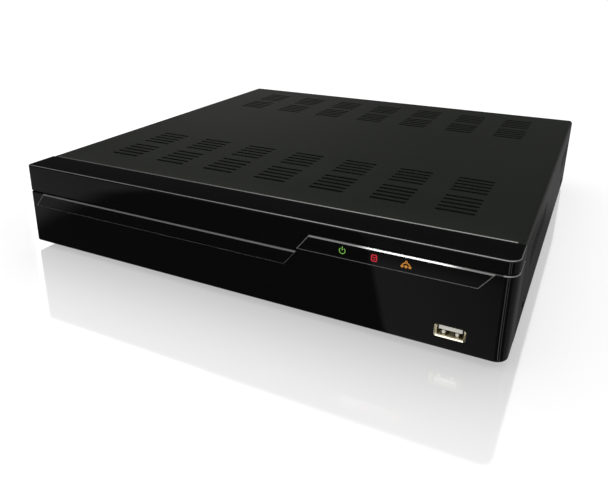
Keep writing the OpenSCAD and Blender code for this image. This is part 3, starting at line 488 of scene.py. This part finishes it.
def pierced(outline, ids):
    """Faces between four corner points and a closed outline inside them; the outline's first quarter
    belongs to the first corner, and so on. ids are the corners' indices, then the outline's first."""
    per = len(outline) // 4
    ring = ids[4] + np.arange(len(outline))
    faces = []
    for k in range(4):
        quarter = ring[np.arange(k * per, (k + 1) * per + 1) % len(ring)]
        faces.extend(np.stack([np.full(per, ids[k]), quarter[1:], quarter[:-1]], -1)[:-1])
        faces.append(np.array([ids[k], ids[(k + 1) % 4], quarter[-1], quarter[-2]]))
    return faces


def round_box(width, height, radius, per_corner=6):
    """Outline of a rectangle with round corners, one arc per corner, starting at the lower left."""
    corners = [(-1, -1, 180), (1, -1, 270), (1, 1, 0), (-1, 1, 90)]
    half_w, half_h = width / 2 - radius, height / 2 - radius
    return np.concatenate([arc(radius, a, a + 90, per_corner) + [side * half_w, level * half_h]
                           for side, level, a in corners])


# ---------- bezel ----------
def make_cap(sizes):
    """Upper moulding: its wall follows the plan from the parting line to the rounded top edge, and its
    top runs straight back from there."""
    cuts = front_cuts(sizes)
    plan = plan_at(sizes, cuts, 0)
    round_over = arc(sizes.top_edge, 0, 90, 9)
    shoulder = TOP - sizes.top_edge
    low = FLOOR_Z + parting(plan[:, 0], sizes) + sizes.groove
    up = np.array([0, 0.5, 1.0])
    wall_h = low[:, None] + (shoulder - low[:, None]) * up[None, :]
    insets = np.concatenate([np.zeros(3), sizes.top_edge - round_over[1:, 0]])
    heights = np.concatenate([wall_h, np.tile(shoulder + round_over[1:, 1], (len(plan), 1))], 1)
    shell = skin(sizes, cuts, insets, heights)
    rows, cols = shell.shape[:2]
    top = sheet_to_back(shell[1:-1, -1], BEZEL_BACK)
    points = np.concatenate([shell.reshape(-1, 3), top.reshape(-1, 3)])
    faces = list(grid_faces(rows, cols)[:, ::-1]) + list(grid_faces(2, rows - 2, rows * cols))
    # The middle rows of the rounded top edge take the lighter edge finish: a painted highlight along the
    # edge.
    level = np.tile(np.arange(cols - 1), rows - 1)
    marks = np.concatenate([np.isin(level, CAP_HIGHLIGHT_ROWS), np.zeros(rows - 3, bool)])
    points, faces, marks = join_close(points, faces, marks)
    piece = put_mesh("bezel_cap_shell", points, faces, "bezel_gloss", painted_highlights=("bezel_edge_highlight",),
                     highlight_marks=marks)
    thicken(piece, sizes.wall)
    soften(piece, 0.2 * MM, 3)
    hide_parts("bezel_cap")


def make_face(sizes):
    """Lower moulding: flat underside, rounded bottom edge, upright wall pierced for the USB socket, and
    a bevelled lip along the parting line."""
    cuts = front_cuts(sizes)
    plan = plan_at(sizes, cuts, 0)
    under = arc(sizes.bottom_edge, -90, 0, 6)
    high = FLOOR_Z + parting(plan[:, 0], sizes)
    socket = np.array([USB_Z - USB_FACET_HALF_H, USB_Z + USB_FACET_HALF_H])
    fixed = np.concatenate([FLOOR_Z + sizes.bottom_edge + under[:, 1], socket])
    lip = np.stack([high - sizes.lip, high], -1)
    heights = np.concatenate([np.tile(fixed, (len(plan), 1)), lip], 1)
    insets = np.concatenate([sizes.bottom_edge - under[:, 0], [0, 0, 0, sizes.lip]])
    shell = skin(sizes, cuts, insets, heights)
    rows, cols = shell.shape[:2]
    off = abs(plan[:, 0] - (USB_X - USB_FACET_HALF_W))
    column = int(np.argmin(off + (plan[:, 1] > FRONT + MM)))
    hole_cell = column * cols + len(under)
    quads = grid_faces(rows, cols)
    level = np.tile(np.arange(cols - 1), rows - 1)
    kept = quads[:, 0] != hole_cell
    faces = list(quads[kept][:, ::-1])
    # Right of this point the lip's bevel takes the lighter edge finish: a painted highlight near the
    # right corner.
    bare = np.repeat(plan[:-1, 0] < LIP_HIGHLIGHT_FROM, cols - 1)
    marks = list((level[kept] == cols - 2) & ~bare[kept])
    outline = round_box(*USB_HOLE)
    rim = np.stack([USB_X + outline[:, 0], np.full(len(outline), FRONT), USB_Z + outline[:, 1]], -1)
    corners = [hole_cell, hole_cell + cols, hole_cell + cols + 1, hole_cell + 1]
    base = rows * cols
    faces += pierced(outline, corners + [base])
    bottom = sheet_to_back(shell[1:-1, 0], BEZEL_BACK - 2.8 * MM)
    points = np.concatenate([shell.reshape(-1, 3), rim, bottom.reshape(-1, 3)])
    faces += [q[::-1] for q in grid_faces(2, rows - 2, base + len(rim))]
    marks += [False] * (len(faces) - len(marks))
    points, faces, marks = join_close(points, faces, marks)
    piece = put_mesh("bezel_face_shell", points, faces, "bezel_gloss", painted_highlights=("bezel_edge_highlight",),
                     highlight_marks=marks)
    thicken(piece, sizes.wall)
    soften(piece, 0.15 * MM, 2)
    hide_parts("bezel_face")


def make_skirt(sizes):
    """Strip behind the shadow groove: a closed rectangular profile carried along the plan."""
    cuts = front_cuts(sizes)
    low = FLOOR_Z + sizes.parting_low - 4 * MM
    high = FLOOR_Z + sizes.parting_high + 4.5 * MM
    insets = np.array([2.1, 2.1, 3.6, 3.6]) * MM
    count = len(plan_at(sizes, cuts, 0))
    heights = np.tile([low, high, high, low], (count, 1))
    strip = skin(sizes, cuts, insets, heights)
    strip[[0, -1], :, 1] = BEZEL_BACK - 5 * MM
    faces = list(grid_faces(count, 4, wrap=True)[:, ::-1])
    faces += [np.arange(4), 4 * (count - 1) + np.arange(4)[::-1]]
    put_mesh("bezel_skirt", strip.reshape(-1, 3), faces, "black_plastic")


def bevelled_plate(outline, face, rise, bevel_widths):
    """Raised plate: its outline at the face, then drawn in by the bevel of each side at the full rise.
    Its root is sunk a little behind the face.

    outline is four (x, z) corners anticlockwise from the lower left as seen from the front; bevel_widths
    gives the bevel of the bottom, right, top and left sides.
    """
    n = len(outline)
    inner = []
    for k in range(n):
        before, here, after = outline[k - 1], outline[k], outline[(k + 1) % n]
        d0 = (here - before) / np.linalg.norm(here - before)
        d1 = (after - here) / np.linalg.norm(after - here)
        n0, n1 = np.array([-d0[1], d0[0]]), np.array([-d1[1], d1[0]])
        shift = np.linalg.solve(np.array([n0, n1]), [bevel_widths[k - 1], bevel_widths[k]])
        inner.append(here + shift)
    inner = np.array(inner)
    levels = [(outline, face + PLATE_ROOT), (outline, face), (inner, face - rise)]
    points = np.concatenate([np.stack([o[:, 0], np.full(n, y), o[:, 1]], -1) for o, y in levels])
    faces = list(grid_faces(3, n, wrap=True)) + [np.arange(n)[::-1], 2 * n + np.arange(n)]
    return points, faces


def make_bands(sizes):
    """The two raised bands: parallelograms that follow the parting line at the left and at the right.
    The right one's top bevel is the sharpest, and the strip light falls on that band only."""
    s, h = sizes.slant, sizes.band_height
    left_top = FLOOR_Z + sizes.parting_low - 0.1 * MM
    right_top = FLOOR_Z + sizes.parting_high - 0.1 * MM
    spans = [("band_left", -138.4 * MM, sizes.parting_x, left_top, [0.45, 0.2, 0.85, 0.6]),
             ("band_right", sizes.parting_x + s, 140.5 * MM, right_top, [0.6, 0.5, 0.75, 0.5])]
    for name, x0, x1, top, bevels in spans:
        outline = np.array([[x0 - s, top - h], [x1 - s, top - h], [x1, top], [x0, top]])
        points, faces = bevelled_plate(outline, FRONT, sizes.band_rise, np.array(bevels) * MM)
        # Every bevel takes a lighter edge finish, a painted highlight; the right band's top bevel also
        # gets the strip lamp's real reflection.
        marks = (np.arange(len(faces)) // len(outline) == 1).astype(int)
        top_bevel = len(outline) + 2
        marks[top_bevel] = 2 if name == "band_right" else 1
        band = put_mesh(name, points, faces, "bezel_gloss", smooth=20,
                        painted_highlights=("bezel_edge_highlight", "band_edge_highlight"), highlight_marks=marks)
        if name == "band_right":
            bpy.data.collections["strip_lit"].objects.link(band)


# ---------- cover ----------
def fold(across, sizes):
    """Section of the cover: the distance across the sheet from its middle gives a point (x, z), flat to
    the bend, then a quarter circle, then straight down."""
    flat = HALF_W - sizes.bend
    past = abs(across) - flat
    angle = np.clip(past / sizes.bend, 0, math.pi / 2)
    down = np.maximum(past - sizes.bend * math.pi / 2, 0)
    x = np.sign(across) * (np.minimum(abs(across), flat) + sizes.bend * np.sin(angle))
    return x, TOP - sizes.bend * (1 - np.cos(angle)) - down


def spans_of(middles, width):
    """Start and end of each span of one width about its middle."""
    return np.asarray(middles)[:, None] + np.array([-0.5, 0.5]) * width


def within(value, spans):
    """Whether each value lies in one of the spans."""
    return ((value[:, None] > spans[:, 0]) & (value[:, None] < spans[:, 1])).any(1)


def make_cover(sizes):
    """Folded sheet: a grid across and along the steel whose lines run along every slot's edges, with
    the slots' cells left out. The first columns turn down along a quarter circle, as the front hem."""
    steps = np.arange(sizes.per_block) - (sizes.per_block - 1) / 2
    rows_y = np.array(SLOT_ROWS) * MM + FRONT
    top_y = spans_of((rows_y[:, None] + steps * sizes.slot_pitch).ravel(), sizes.slot_width)
    block_steps = np.arange(sizes.blocks) - (sizes.blocks - 1) / 2
    blocks = spans_of(block_steps * sizes.block_pitch, sizes.slot_length)
    starts = np.concatenate([first * MM + np.arange(count) * sizes.slot_pitch
                             for first, count in SIDE_GROUPS])
    side_y = spans_of(FRONT + starts, sizes.slot_width)
    turn = HALF_W - sizes.bend + sizes.bend * math.pi / 2
    drop = TOP - sizes.bend - (FLOOR_Z + SIDE_SLOT_Z)
    side_u = spans_of([turn + drop], sizes.side_slot)
    bend = HALF_W - sizes.bend + sizes.bend * math.pi / 2 * np.linspace(0, 1, 9)
    foot = turn + TOP - sizes.bend - cover_lo.z
    hem = np.array([sizes.hem_half, sizes.hem_half + 0.05 * MM])
    half = np.concatenate([hem, bend, side_u.ravel(), [foot]])
    across = np.unique(np.concatenate([-half, blocks.ravel(), half]).round(7))
    angle = np.radians([90, 72, 54, 36, 18, 0])
    front = COVER_FRONT + HEM_GAP + sizes.hem_radius * (1 - np.sin(angle))
    fall = sizes.hem_radius * (1 - np.cos(angle))
    rest = np.unique(np.concatenate([top_y.ravel(), side_y.ravel(), [REAR]]).round(7))
    along = np.concatenate([[COVER_FRONT + HEM_GAP], front, rest])
    fall = np.concatenate([[sizes.hem_radius + HEM_TAIL], fall, np.zeros(len(rest))])
    x, z = fold(across, sizes)
    in_hem = abs(across) < sizes.hem_half + 0.01 * MM
    points = np.stack(np.broadcast_arrays(x[:, None], along[None, :],
                                          z[:, None] - fall[None, :] * in_hem[:, None]), -1)
    points[~in_hem, :2, 1] = COVER_FRONT
    middle_u, middle_y = (across[1:] + across[:-1]) / 2, (along[1:] + along[:-1]) / 2
    open_cell = within(middle_u, blocks)[:, None] & within(middle_y, top_y)[None, :]
    open_cell |= within(abs(middle_u), side_u)[:, None] & within(middle_y, side_y)[None, :]
    open_cell[abs(middle_u) > sizes.hem_half, 0] = True
    quads = grid_faces(len(across), len(along))[:, ::-1]
    # The hem's rounded faces take the lighter metallic finish: a painted highlight along the front fold.
    bright = np.zeros(open_cell.shape, bool)
    bright[abs(middle_u) < sizes.hem_half, 1:6] = True
    closed = ~open_cell.ravel()
    points, faces, marks = join_close(points.reshape(-1, 3), quads[closed], bright.ravel()[closed])
    piece = put_mesh("cover_shell", points, faces, "cover_paint", painted_highlights=("cover_hem_highlight",),
                     highlight_marks=marks)
    thicken(piece, sizes.sheet)
    soften(piece, 0.16 * MM, 2)
    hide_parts("top_cover")


def make_rear_lip(sizes):
    """Lip folded down over the rear panel: a flat plate with rounded lower corners, closed all round."""
    height, corner, below_top = 5.4 * MM, 0.9 * MM, 0.5 * MM
    outline = round_box(2 * HALF_W - 2.4 * MM, height, corner)
    middle = TOP - below_top - height / 2
    levels = np.array([REAR - sizes.sheet, REAR])
    points = np.stack(np.broadcast_arrays(outline[None, :, 0], levels[:, None],
                                          middle + outline[None, :, 1]), -1).reshape(-1, 3)
    n = len(outline)
    faces = list(grid_faces(2, n, wrap=True)[:, ::-1]) + [np.arange(n), n + np.arange(n)[::-1]]
    piece = put_mesh("cover_rear_lip", points, faces, "cover_paint")
    soften(piece, 0.2 * MM, 2)


# ---------- small shapes ----------
def joined(parts):
    """Points and faces of several shapes as one."""
    firsts = np.cumsum([0] + [len(points) for points, _ in parts[:-1]])
    faces = [np.asarray(face) + first for (_, own), first in zip(parts, firsts) for face in own]
    return np.concatenate([points for points, _ in parts]), faces


def prism(outline, front, back):
    """Closed outline of (x, z) points, anticlockwise from the front, given a depth along Y."""
    n = len(outline)
    points = np.concatenate([np.stack([outline[:, 0], np.full(n, y), outline[:, 1]], -1)
                             for y in (back, front)])
    return points, list(grid_faces(2, n, wrap=True)) + [np.arange(n)[::-1], n + np.arange(n)]


def stroke(outer, inner, front, back):
    """Band between an outer and an inner line walked the same way, closed at both ends."""
    return prism(np.concatenate([outer, inner[::-1]]), front, back)


def ring_arc(centre, outer, inner, start, stop, front, back, count=26):
    """Part of a ring between two angles: a stroke along a circle."""
    return stroke(arc(outer, start, stop, count) + centre, arc(inner, start, stop, count) + centre,
                  front, back)


def upright(half_width, low, high):
    """Closed outline of an upright bar about x = 0, from low to high."""
    return np.array([[-half_width, low], [half_width, low],
                     [half_width, high], [-half_width, high]])


def disc(centre, radius, front, back):
    """Round plate: a prism over a circle."""
    return prism(arc(radius, 0, 345, 24) + centre, front, back)


def sleeve(sections, centre):
    """Rounded rectangles of (width, height, radius, y), each joined to the next: a pressed sleeve."""
    rings = [np.stack([centre[0] + o[:, 0], np.full(len(o), y), centre[1] + o[:, 1]], -1)
             for o, y in [(round_box(w, h, r), y) for w, h, r, y in sections]]
    n = len(rings[0])
    return np.concatenate(rings), list(grid_faces(len(rings), n, wrap=True))


def lathe(profile, centre, count=40):
    """Profile of (radius, y) turned about a line along Y through the centre (x, z)."""
    around = np.radians(np.arange(count) * 360 / count)
    r, y = profile[:, 0][:, None], profile[:, 1][:, None]
    points = np.stack(np.broadcast_arrays(centre[0] + r * np.cos(around), y,
                                          centre[1] + r * np.sin(around)), -1)
    return points.reshape(-1, 3), list(grid_faces(len(profile), count, wrap=True))


# ---------- icons and sockets ----------
def middle_of(node):
    """Middle (x, z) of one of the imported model's parts."""
    lo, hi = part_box(node)
    return np.array([(lo.x + hi.x) / 2, (lo.z + hi.z) / 2])


def power_mark(at):
    """A ring open at its top, with an upright bar in the opening."""
    return joined([ring_arc(at, 1.75 * MM, 1.36 * MM, 125, 415, *ICON_DEPTH),
                   prism(at + upright(0.2, 0.2, 2.3) * MM, *ICON_DEPTH)])


def drive_mark(at):
    """A rounded frame round two short bars."""
    outer, inner = round_box(3.2 * MM, 3.8 * MM, 0.9 * MM), round_box(2.1 * MM, 2.7 * MM, 0.5 * MM)
    loop = np.arange(len(outer) + 1) % len(outer)
    middle = round_box(2.2 * MM, 0.5 * MM, 0.1 * MM, 2)
    foot = round_box(1.2 * MM, 0.35 * MM, 0.1 * MM, 2) - [0, 0.75 * MM]
    return joined([stroke(at + outer[loop], at + inner[loop], *ICON_DEPTH),
                   prism(at + middle + [0, 0.35 * MM], *ICON_DEPTH), prism(at + foot, *ICON_DEPTH)])


def network_mark(at):
    """A dot and a stem over an arch, with three dots along the arch's foot."""
    low = at - [0, 0.9 * MM]
    aside = np.array([1.9 * MM, 0])
    return joined([disc(at + [0, 1.6 * MM], 0.6 * MM, *ICON_DEPTH),
                   prism(at + upright(0.22, 0.9, 1.5) * MM, *ICON_DEPTH),
                   ring_arc(low, 2.2 * MM, 1.65 * MM, 12, 168, *ICON_DEPTH),
                   disc(low, 0.75 * MM, *ICON_DEPTH), disc(low - aside, 0.72 * MM, *ICON_DEPTH),
                   disc(low + aside, 0.72 * MM, *ICON_DEPTH)])


def make_icons():
    """Three translucent icons let into the right band: a power ring, a drive and a network tree."""
    for name, mark, slot, node in (("icon_power", power_mark, "icon_green", "power_icon"),
                                   ("icon_drive", drive_mark, "icon_red", "drive_icon"),
                                   ("icon_network", network_mark, "icon_amber", "network_icon")):
        piece = put_mesh(name, *mark(middle_of(node)), slot)
        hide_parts(node)


def make_front_usb():
    """Front USB socket: a flared sleeve, two spring noses turned about lines along Y from a quarter
    ellipse, and the tongue's four contacts."""
    sections = [(w * MM, h * MM, r * MM, FRONT + y * MM) for w, h, r, y in USB_SECTIONS]
    shell = put_mesh("usb_sleeve", *sleeve(sections, (USB_X, USB_Z)), "warm_plating", smooth=50)
    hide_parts("front_usb_shell")
    angle = np.radians(np.linspace(90, 2, 9))
    bore, half_w, length = 0.02 * MM, 0.95 * MM, 1.3 * MM
    root, tip = FRONT + 2.6 * MM, FRONT + 1.31 * MM
    nose = np.stack([half_w * np.cos(angle) + bore, root - length * np.sin(angle)], -1)
    nose = np.concatenate([nose[::-1], [[bore, tip]]])
    parts = [lathe(nose, (USB_X + x, USB_Z - 1.3 * MM), 24) for x in (-3.25 * MM, 3.25 * MM)]
    # The noses' pale, mostly diffuse plating is partly a painted highlight.
    put_mesh("usb_spring_noses", *joined(parts), "spring_plating")
    pads = [prism(upright(w / 2, -0.18, 0.0) * MM + [USB_X + x * MM, USB_Z + 0.08 * MM],
                  *CONTACT_DEPTH) for x, w in USB_CONTACTS]
    put_mesh("usb_contacts", *joined(pads), "gold")


def make_rca_inserts():
    """Coloured insulators of the phono sockets: a tube turned about each socket's axis."""
    lo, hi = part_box("rca_inserts")
    r, bore = 3.5 * MM, 1.65 * MM
    flare, chamfer = 0.4 * MM, 0.3 * MM
    end, root = hi.y, hi.y - 9 * MM
    profile = np.array([[bore, root], [bore, end - flare], [bore + flare, end],
                        [r - chamfer, end], [r, end - chamfer], [r, root]])
    for name, slot, x in (("rca_inserts_left", "white_plastic", lo.x + r),
                          ("rca_inserts_right", "red_plastic", hi.x - r)):
        shape = joined([lathe(profile, (x, z)) for z in (lo.z + r, hi.z - r)])
        piece = put_mesh(name, *shape, slot)
        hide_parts("rca_inserts")


def make_cover_screws():
    """The cover's screws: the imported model's own shapes, merged, with the side ones let in until their
    heads stand barely proud of the sheet."""
    side_zone, let_in = 6 * MM, 1.0 * MM
    source = NODES["cover_screws"].data
    points = np.empty(3 * len(source.vertices))
    source.vertices.foreach_get("co", points)
    points = points.reshape(-1, 3)
    at_side = abs(points[:, 0]) > HALF_W - side_zone
    points[:, 0] -= np.sign(points[:, 0]) * at_side * let_in
    points, faces, _ = join_close(points, [list(face.vertices) for face in source.polygons])
    piece = put_mesh("cover_screws_low", points, faces, "screw_black")
    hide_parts("cover_screws")


# ---------- operators ----------
class RECORDER_OT_finishes(bpy.types.Operator):
    """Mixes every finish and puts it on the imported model's own parts"""
    bl_idname = "recorder.finishes"
    bl_label = "Finishes"

    def execute(self, context):
        FINISHES.update(make_finishes(context.scene.recorder_colours))
        for row in frame["record"]["subparts"]:
            part = NODES[row["node"]]
            part.data.materials.clear()
            part.data.materials.append(FINISHES[row["material_slot"]])
        return {"FINISHED"}


class RECORDER_OT_bezel(bpy.types.Operator):
    """Builds the cap, the face, the skirt behind them and the two raised bands of the bezel"""
    bl_idname = "recorder.bezel"
    bl_label = "Bezel"

    def execute(self, context):
        sizes = context.scene.recorder_bezel
        make_cap(sizes)
        make_face(sizes)
        make_skirt(sizes)
        make_bands(sizes)
        return {"FINISHED"}


class RECORDER_OT_icons(bpy.types.Operator):
    """Lets the three lit icons into the right band"""
    bl_idname = "recorder.icons"
    bl_label = "Icons"

    def execute(self, context):
        make_icons()
        return {"FINISHED"}


class RECORDER_OT_sockets(bpy.types.Operator):
    """Presses the front USB socket and turns the phono sockets' inserts"""
    bl_idname = "recorder.sockets"
    bl_label = "Sockets"

    def execute(self, context):
        make_front_usb()
        make_rca_inserts()
        return {"FINISHED"}


class RECORDER_OT_cover(bpy.types.Operator):
    """Folds the slotted steel cover and its rear lip, and drives its screws"""
    bl_idname = "recorder.cover"
    bl_label = "Cover"

    def execute(self, context):
        sizes = context.scene.recorder_cover
        make_cover(sizes)
        make_rear_lip(sizes)
        make_cover_screws()
        return {"FINISHED"}


# ---------- stage ----------
def value_of(tree, kind, *values):
    """A math node over numbers and sockets; gives its output."""
    node = tree.nodes.new("ShaderNodeMath")
    node.operation = kind
    for k, value in enumerate(values):
        if isinstance(value, (int, float)):
            node.inputs[k].default_value = value
        else:
            tree.links.new(value, node.inputs[k])
    return node.outputs[0]


def product(tree, *factors):
    """Numbers and sockets multiplied, from the first to the last."""
    result = factors[0]
    for factor in factors[1:]:
        result = value_of(tree, "MULTIPLY", result, factor)
    return result


def total(tree, *terms):
    """Numbers and sockets added up, from the first to the last."""
    result = terms[0]
    for term in terms[1:]:
        result = value_of(tree, "ADD", result, term)
    return result


def ramp_of(tree, value, low, high, at_low, at_high, kind="SMOOTHSTEP"):
    """A climb from one value to another, smooth unless its kind says otherwise."""
    node = tree.nodes.new("ShaderNodeMapRange")
    node.interpolation_type = kind
    names = ("From Min", "From Max", "To Min", "To Max")
    for name, number in zip(names, (low, high, at_low, at_high)):
        node.inputs[name].default_value = number
    tree.links.new(value, node.inputs["Value"])
    return node.outputs["Result"]


def axes_of(tree, space):
    """The X, Y and Z sockets of one kind of texture coordinates."""
    where = tree.nodes.new("ShaderNodeTexCoord")
    split = tree.nodes.new("ShaderNodeSeparateXYZ")
    tree.links.new(where.outputs[space], split.inputs["Vector"])
    return (split.outputs[axis] for axis in "XYZ")


def floor_in_gloss(tree, x, y):
    """How bright the floor is to a glossy surface: dim in front, a lighter patch to the right of a
    slanting edge, lighter at the far left and behind, and beyond the right side a glow that goes by the
    angle about the bezel's right corner, with two bright streaks in it."""
    edge = value_of(tree, "MULTIPLY_ADD", y, PATCH_SLOPE, PATCH_START)
    slant = value_of(tree, "SUBTRACT", x, edge)
    turn = value_of(tree, "ARCTAN2", value_of(tree, "ADD", y, -CORNER_Y),
                    value_of(tree, "ADD", x, -CORNER_X))
    patch = product(tree, ramp_of(tree, slant, -0.001, 0.004, 0, 1),
                    ramp_of(tree, slant, 0.0, 0.12, 0.24, 0.08),
                    ramp_of(tree, y, -0.255, -0.235, 0.3, 1),
                    ramp_of(tree, turn, -1.55, -1.35, 1, 0))
    far_left = ramp_of(tree, x, -0.205, -0.165, 0.28, 0.025)
    beside = total(tree, product(tree, ramp_of(tree, turn, -0.45, -0.2, 0.0, 1.0),
                                 ramp_of(tree, turn, 0.6, 1.35, 0.16, 0.05)),
                   ramp_of(tree, y, 0.04, 0.11, 0.0, 0.09))
    streaks = total(tree, product(tree, value_of(tree, "COMPARE", turn, -1.05, 0.05), 1.5),
                    value_of(tree, "COMPARE", turn, -0.78, 0.04))
    glow = product(tree, ramp_of(tree, x, 0.147, 0.152, 0, 1), total(tree, beside, streaks))
    behind = product(tree, ramp_of(tree, y, 0.15, 0.27, 0, 0.7),
                     ramp_of(tree, x, 0.12, 0.145, 1, 0))
    return total(tree, patch, far_left, glow, behind)


def stage_material():
    """Pale floor that glows a little and is polished near the object, less so further away. A glossy
    surface sees it as a dimmer studio floor instead."""
    mat, tree, shader = new_material("pale_floor")
    noise, spread = mottle(tree, 3, 0.5, 0.6)
    tint(tree, noise, FLOOR_TONE, 0.01, shader.inputs["Base Color"])
    tree.links.new(spread.outputs["Result"], shader.inputs["Roughness"])
    shader.inputs["Specular IOR Level"].default_value = 0
    shader.inputs["Emission Color"].default_value = (1, 1, 1, 1)
    shader.inputs["Emission Strength"].default_value = FLOOR_GLOW
    x, y, _ = axes_of(tree, "Object")
    dim = tree.nodes.new("ShaderNodeEmission")
    tree.links.new(floor_in_gloss(tree, x, y), dim.inputs["Strength"])
    aside = value_of(tree, "MULTIPLY_ADD", value_of(tree, "ABSOLUTE", x), 0.35, -0.35 * HALF_W)
    away = value_of(tree, "MAXIMUM", aside,
                    value_of(tree, "SUBTRACT", value_of(tree, "ABSOLUTE", y), REAR))
    mirror = tree.nodes.new("ShaderNodeBsdfGlossy")
    mirror.inputs["Roughness"].default_value = 0.07
    polished = tree.nodes.new("ShaderNodeMixShader")
    polish = ramp_of(tree, away, 0, 0.16, FLOOR_POLISH, 0, kind="LINEAR")
    tree.links.new(polish, polished.inputs["Fac"])
    tree.links.new(shader.outputs["BSDF"], polished.inputs[1])
    tree.links.new(mirror.outputs["BSDF"], polished.inputs[2])
    path = tree.nodes.new("ShaderNodeLightPath")
    mix = tree.nodes.new("ShaderNodeMixShader")
    tree.links.new(path.outputs["Is Glossy Ray"], mix.inputs["Fac"])
    tree.links.new(polished.outputs["Shader"], mix.inputs[1])
    tree.links.new(dim.outputs["Emission"], mix.inputs[2])
    tree.links.new(mix.outputs["Shader"], tree.nodes["Material Output"].inputs["Surface"])
    return mat


def make_world():
    """White surroundings for the eye and soft light for the object. In its gloss they are dim, and
    brighter high at the left of the back, overhead, low at the back, high in front and to the right."""
    world = bpy.data.worlds.new("studio")
    world.use_nodes = True
    tree = world.node_tree
    back = tree.nodes["Background"]
    x, y, z = axes_of(tree, "Generated")
    left = product(tree, ramp_of(tree, x, -0.75, -0.25, 0.9, 0.05),
                   ramp_of(tree, z, 0.44, 0.62, 0, 1), ramp_of(tree, y, 0, 0.3, 0, 1))
    above = value_of(tree, "MULTIPLY_ADD", ramp_of(tree, z, 0.70, 0.88, 0, 2.0),
                     ramp_of(tree, x, -0.5, -0.33, 0.4, 1), 0.03)
    low = product(tree, ramp_of(tree, z, 0.17, 0.27, 0.16, 0),
                  ramp_of(tree, x, -0.5, -0.2, 1, 0.3), ramp_of(tree, y, 0.6, 0.85, 0, 1))
    ahead = product(tree, ramp_of(tree, z, 0.40, 0.5, 0, 0.9),
                    ramp_of(tree, y, -0.72, -0.6, 1, 0))
    right = ramp_of(tree, x, 0.3, 0.6, 0, 0.5)
    pick = tree.nodes.new("ShaderNodeMix")
    pick.inputs["A"].default_value = 1.0
    path = tree.nodes.new("ShaderNodeLightPath")
    tree.links.new(path.outputs["Is Glossy Ray"], pick.inputs["Factor"])
    tree.links.new(total(tree, left, above, low, right, ahead), pick.inputs["B"])
    tree.links.new(pick.outputs["Result"], back.inputs["Strength"])
    back.inputs["Color"].default_value = (1, 1, 1, 1)
    bpy.context.scene.world = world


def area_light(name, place, target, size, power):
    """A soft box at a place, aimed at a target."""
    data = bpy.data.lights.new(name, "AREA")
    data.shape = "RECTANGLE"
    data.size, data.size_y = size
    data.energy = power
    lamp = bpy.data.objects.new(name, data)
    lamp.location = place
    aim = Vector(target) - Vector(place)
    lamp.rotation_euler = aim.to_track_quat("-Z", "Y").to_euler()
    bpy.context.scene.collection.objects.link(lamp)
    return lamp


def shine_only_on(lamp, group):
    """Lets a lamp's gloss fall on one collection only, and hides the lamp itself."""
    lamp.visible_diffuse = False
    lamp.visible_camera = False
    lamp.light_linking.receiver_collection = group


def make_camera():
    """Camera a little above and to the right of the front, 37 mm lens. Its place is given from the
    middle of the case's depth and from the bezel's underside."""
    data = bpy.data.cameras.new("camera")
    data.sensor_width = 36
    data.lens = 37.02
    data.shift_x = 0.035
    data.shift_y = -0.088
    camera = bpy.data.objects.new("camera", data)
    turn = Matrix.Rotation(CAMERA_TURN, 3, "Z") @ Matrix.Rotation(math.pi / 2 - CAMERA_DIP, 3, "X")
    turn = turn @ Matrix.Rotation(CAMERA_ROLL, 3, "Z")
    x, y, z = CAMERA_PLACE
    camera.rotation_euler = turn.to_euler()
    camera.location = (x, (FRONT + REAR) / 2 + y, FLOOR_Z + z)
    bpy.context.scene.collection.objects.link(camera)
    bpy.context.scene.camera = camera


class RECORDER_OT_stage(bpy.types.Operator):
    """Lays the floor, hangs the lights and sets the camera"""
    bl_idname = "recorder.stage"
    bl_label = "Stage"

    def execute(self, context):
        make_world()
        make_camera()
        far = FLOOR_HALF
        corners = np.array([[-far, -far, 0], [far, -far, 0], [far, far, 0], [-far, far, 0]])
        mesh = bpy.data.meshes.new("floor")
        mesh.from_pydata(corners.tolist(), [], [[0, 1, 2, 3]])
        floor = bpy.data.objects.new("floor", mesh)
        context.scene.collection.objects.link(floor)
        mesh.materials.append(stage_material())
        area_light("overhead", (-0.3, 0.5, 1.5), (0, 0, 0), (1.2, 0.8), 4)
        strip = area_light("edge_strip", (-0.15, -1.02, 0.67), (0.095, -0.155, 0.049),
                           (0.19, 0.14), 0.9)
        shine_only_on(strip, bpy.data.collections.new("strip_lit"))
        only_floor = bpy.data.collections.new("only_floor")
        only_floor.objects.link(floor)
        for name, x, y in WALLS:
            wall = area_light(name, (x, y, WALL_Z), (0, 0, WALL_Z), WALL_SIZE, WALL_POWER)
            shine_only_on(wall, only_floor)
        context.scene.view_settings.view_transform = "Standard"
        return {"FINISHED"}


class RECORDER_PT_panel(bpy.types.Panel):
    """Buttons for each group of pieces"""
    bl_label = "Recorder"
    bl_idname = "RECORDER_PT_panel"
    bl_space_type = "VIEW_3D"
    bl_region_type = "UI"
    bl_category = "Recorder"

    def draw(self, context):
        for name in ORDER:
            self.layout.operator("recorder." + name)


ORDER = ["stage", "finishes", "bezel", "cover", "icons", "sockets"]
CLASSES = [BezelSizes, CoverSizes, FinishColours, RECORDER_OT_stage, RECORDER_OT_finishes,
           RECORDER_OT_bezel, RECORDER_OT_cover, RECORDER_OT_icons,
           RECORDER_OT_sockets, RECORDER_PT_panel]


def register():
    for cls in CLASSES:
        bpy.utils.register_class(cls)
    bpy.types.Scene.recorder_bezel = bpy.props.PointerProperty(type=BezelSizes)
    bpy.types.Scene.recorder_cover = bpy.props.PointerProperty(type=CoverSizes)
    bpy.types.Scene.recorder_colours = bpy.props.PointerProperty(type=FinishColours)


def unregister():
    del bpy.types.Scene.recorder_colours
    del bpy.types.Scene.recorder_cover
    del bpy.types.Scene.recorder_bezel
    for cls in reversed(CLASSES):
        bpy.utils.unregister_class(cls)


def main():
    register()
    for name in ORDER:
        getattr(bpy.ops.recorder, name)()


if __name__ == "__main__":
    main()
